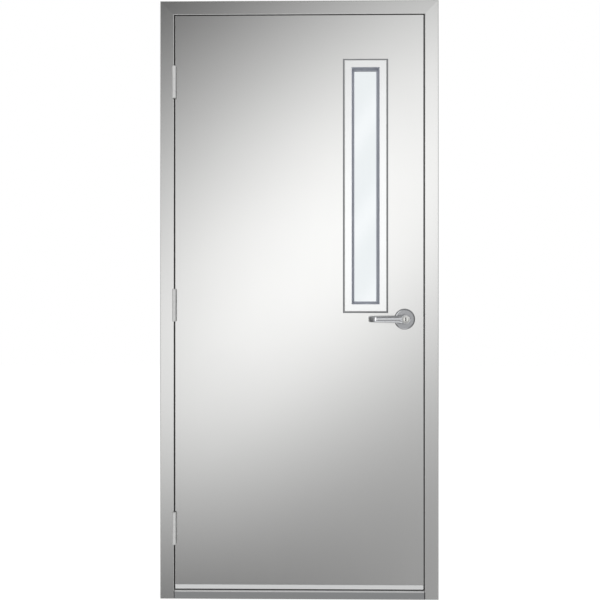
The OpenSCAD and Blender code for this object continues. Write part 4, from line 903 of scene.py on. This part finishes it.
screens = toward((0.0, 0.0, -0.5), 0.72)
ceiling = toward((-0.1, 0.0, 0.5), 0.34)
off_floor = toward((0.0, 0.0, -0.3), 0.15)
room = add(sky, "Math", [ceiling, off_floor], operation="MAXIMUM").outputs[0]
beside = add(sky, "Mix", {0: turned_away(*SCREENS_TO_ROOM), 2: screens, 3: room}).outputs[0]
mirror_light = add(sky, "Mix", {0: turned_away(*BAND_TO_SCREENS), 2: band, 3: beside}).outputs[0]
front_light = toward((0.3, 0.75, -0.3), 0.25)
soft_light = add(sky, "Math", [front_light, LEAST_LIGHT], operation="MAXIMUM").outputs[0]
print("world nodes:", len(sky.nodes))

# %% [markdown]
# A light path node tells what kind of ray asks. Mirror rays get the band and the room, scattered rays get the
# soft light, and the camera and the rays through the glass get plain white.

# %% World: which ray sees what
path = add(sky, "LightPath").outputs
seen = add(sky, "Mix", {0: path["Is Glossy Ray"], 2: soft_light, 3: mirror_light}).outputs[0]
paper = add(sky, "Math", [path["Is Camera Ray"], path["Is Transmission Ray"]], operation="MAXIMUM").outputs[0]
strength = add(sky, "Mix", {0: paper, 2: seen, 3: 1.0}).outputs[0]
background = add(sky, "Background", {"Color": (1, 1, 1, 1), "Strength": strength})
add(sky, "OutputWorld", {"Surface": background.outputs[0]})
print("world nodes:", len(sky.nodes))

# %% [markdown]
# The floor is pale paper too. To the camera it is white with the object's soft shadow: part of its light is
# its own, so that it meets the backdrop without a line, and part is reflected, so that the shadow stays.
# The mirror rays look past it to the studio.

# %% Floor
FLOOR_HALF, FLOOR_Z, FLOOR_CELLS = 14.0, -0.0005, 8


def paper_floor(fibre_mm=6.0, own_light=0.93):
    """Noise at the size of paper fibres mixes two greys, and camera rays get light of the paper's own."""
    matt_paper = {"Roughness": 0.9, "Specular IOR Level": 0.0, "Emission Color": (1, 1, 1, 1)}
    material, tree, shader, where = new_material("pale_paper_floor", matt_paper)
    fibre = add(tree, "TexNoise", {"Vector": where, "Scale": 1000 / fibre_mm, "Detail": 2.0}).outputs[0]
    tone = add(tree, "Mix", {"Factor": fibre, 6: linear("#7E7E7E"), 7: linear("#828282")}, data_type="RGBA")
    rays = add(tree, "LightPath").outputs
    looked_at = add(tree, "Math", [rays["Is Camera Ray"], rays["Is Transmission Ray"]], operation="MAXIMUM")
    own = add(tree, "MapRange", {"Value": looked_at.outputs[0], "To Min": 0.0, "To Max": own_light})
    tree.links.new(tone.outputs[2], shader.inputs["Base Color"])
    tree.links.new(own.outputs[0], shader.inputs["Emission Strength"])
    return material


span = np.linspace(-FLOOR_HALF, FLOOR_HALF, FLOOR_CELLS + 1)
floor_x, floor_y = np.meshgrid(span, span, indexing="ij")
floor_points = np.stack([floor_x, floor_y, np.full_like(floor_x, FLOOR_Z)], -1).reshape(-1, 3)
i, j = np.meshgrid(np.arange(FLOOR_CELLS), np.arange(FLOOR_CELLS), indexing="ij")
corner = i * len(span) + j
floor_faces = np.stack([corner, corner + len(span), corner + len(span) + 1, corner + 1], -1).reshape(-1, 4)
floor_mesh = bpy.data.meshes.new("floor")
floor_mesh.from_pydata(floor_points.tolist(), [], floor_faces.tolist())
floor = bpy.data.objects.new("floor", floor_mesh)
floor_mesh.materials.append(paper_floor())
bpy.context.scene.collection.objects.link(floor)
floor.visible_glossy = False
floor.visible_diffuse = False
print("floor", round(float(span[-1] * 2), 1), "m wide")

# %% [markdown]
# Two soft lamps shape the painted and rubber parts: a large one high on the left in front, and a weaker one
# behind, so that the back isn't flat. They are kept out of mirror rays, because the band of the world is
# already their image in the steel. Two more are linked to the levers and roses alone and do show in them: one
# left of the camera draws the white stripe at the bend of the bar, and a lit card on the floor keeps the
# underside of the bar from going black.

# %% Lamps
def softbox(name, place_at, look_at, size, watts):
    """A rectangular area lamp, turned so that its -Z axis points from its place to what it looks at."""
    data = bpy.data.lights.new(name, "AREA")
    data.shape = "RECTANGLE"
    data.size, data.size_y = size
    data.energy = watts
    lamp = bpy.data.objects.new(name, data)
    bpy.context.scene.collection.objects.link(lamp)
    way = np.asarray(look_at, float) - np.asarray(place_at, float)
    lean = math.acos(-way[2] / np.linalg.norm(way))
    lamp.location = place_at
    lamp.rotation_euler = (lean, 0, math.atan2(way[1], way[0]) - math.pi / 2)
    lamp.visible_glossy = False
    return lamp


DOOR_MIDDLE = (0, 0, 1.2)
softbox("softbox_front", (-1.6, -4.4, 3.4), DOOR_MIDDLE, (2.0, 2.0), 90)
softbox("softbox_back", (1.8, 4.2, 3.2), DOOR_MIDDLE, (2.0, 2.0), 80)
stripe = softbox("softbox_for_lock", (-1.2, -4.9, 1.9), (0.28, 0, 1.02), (1.3, 4.4), 85)
card = softbox("card_for_lock", (0.3, -1.05, 0.03), (0.3, -1.05, 1.0), (1.9, 1.2), 7)
lock_pieces = bpy.data.collections.new("lock_pieces")
for piece in (outside, inside, nodes["outside_rose"], nodes["inside_rose"]):
    lock_pieces.objects.link(piece)
for lamp in (stripe, card):
    lamp.visible_glossy = True
    lamp.visible_camera = False
    lamp.light_linking.receiver_collection = lock_pieces
bpy.context.scene.view_settings.view_transform = "Standard"

# %% Finish
bpy.context.view_layer.update()
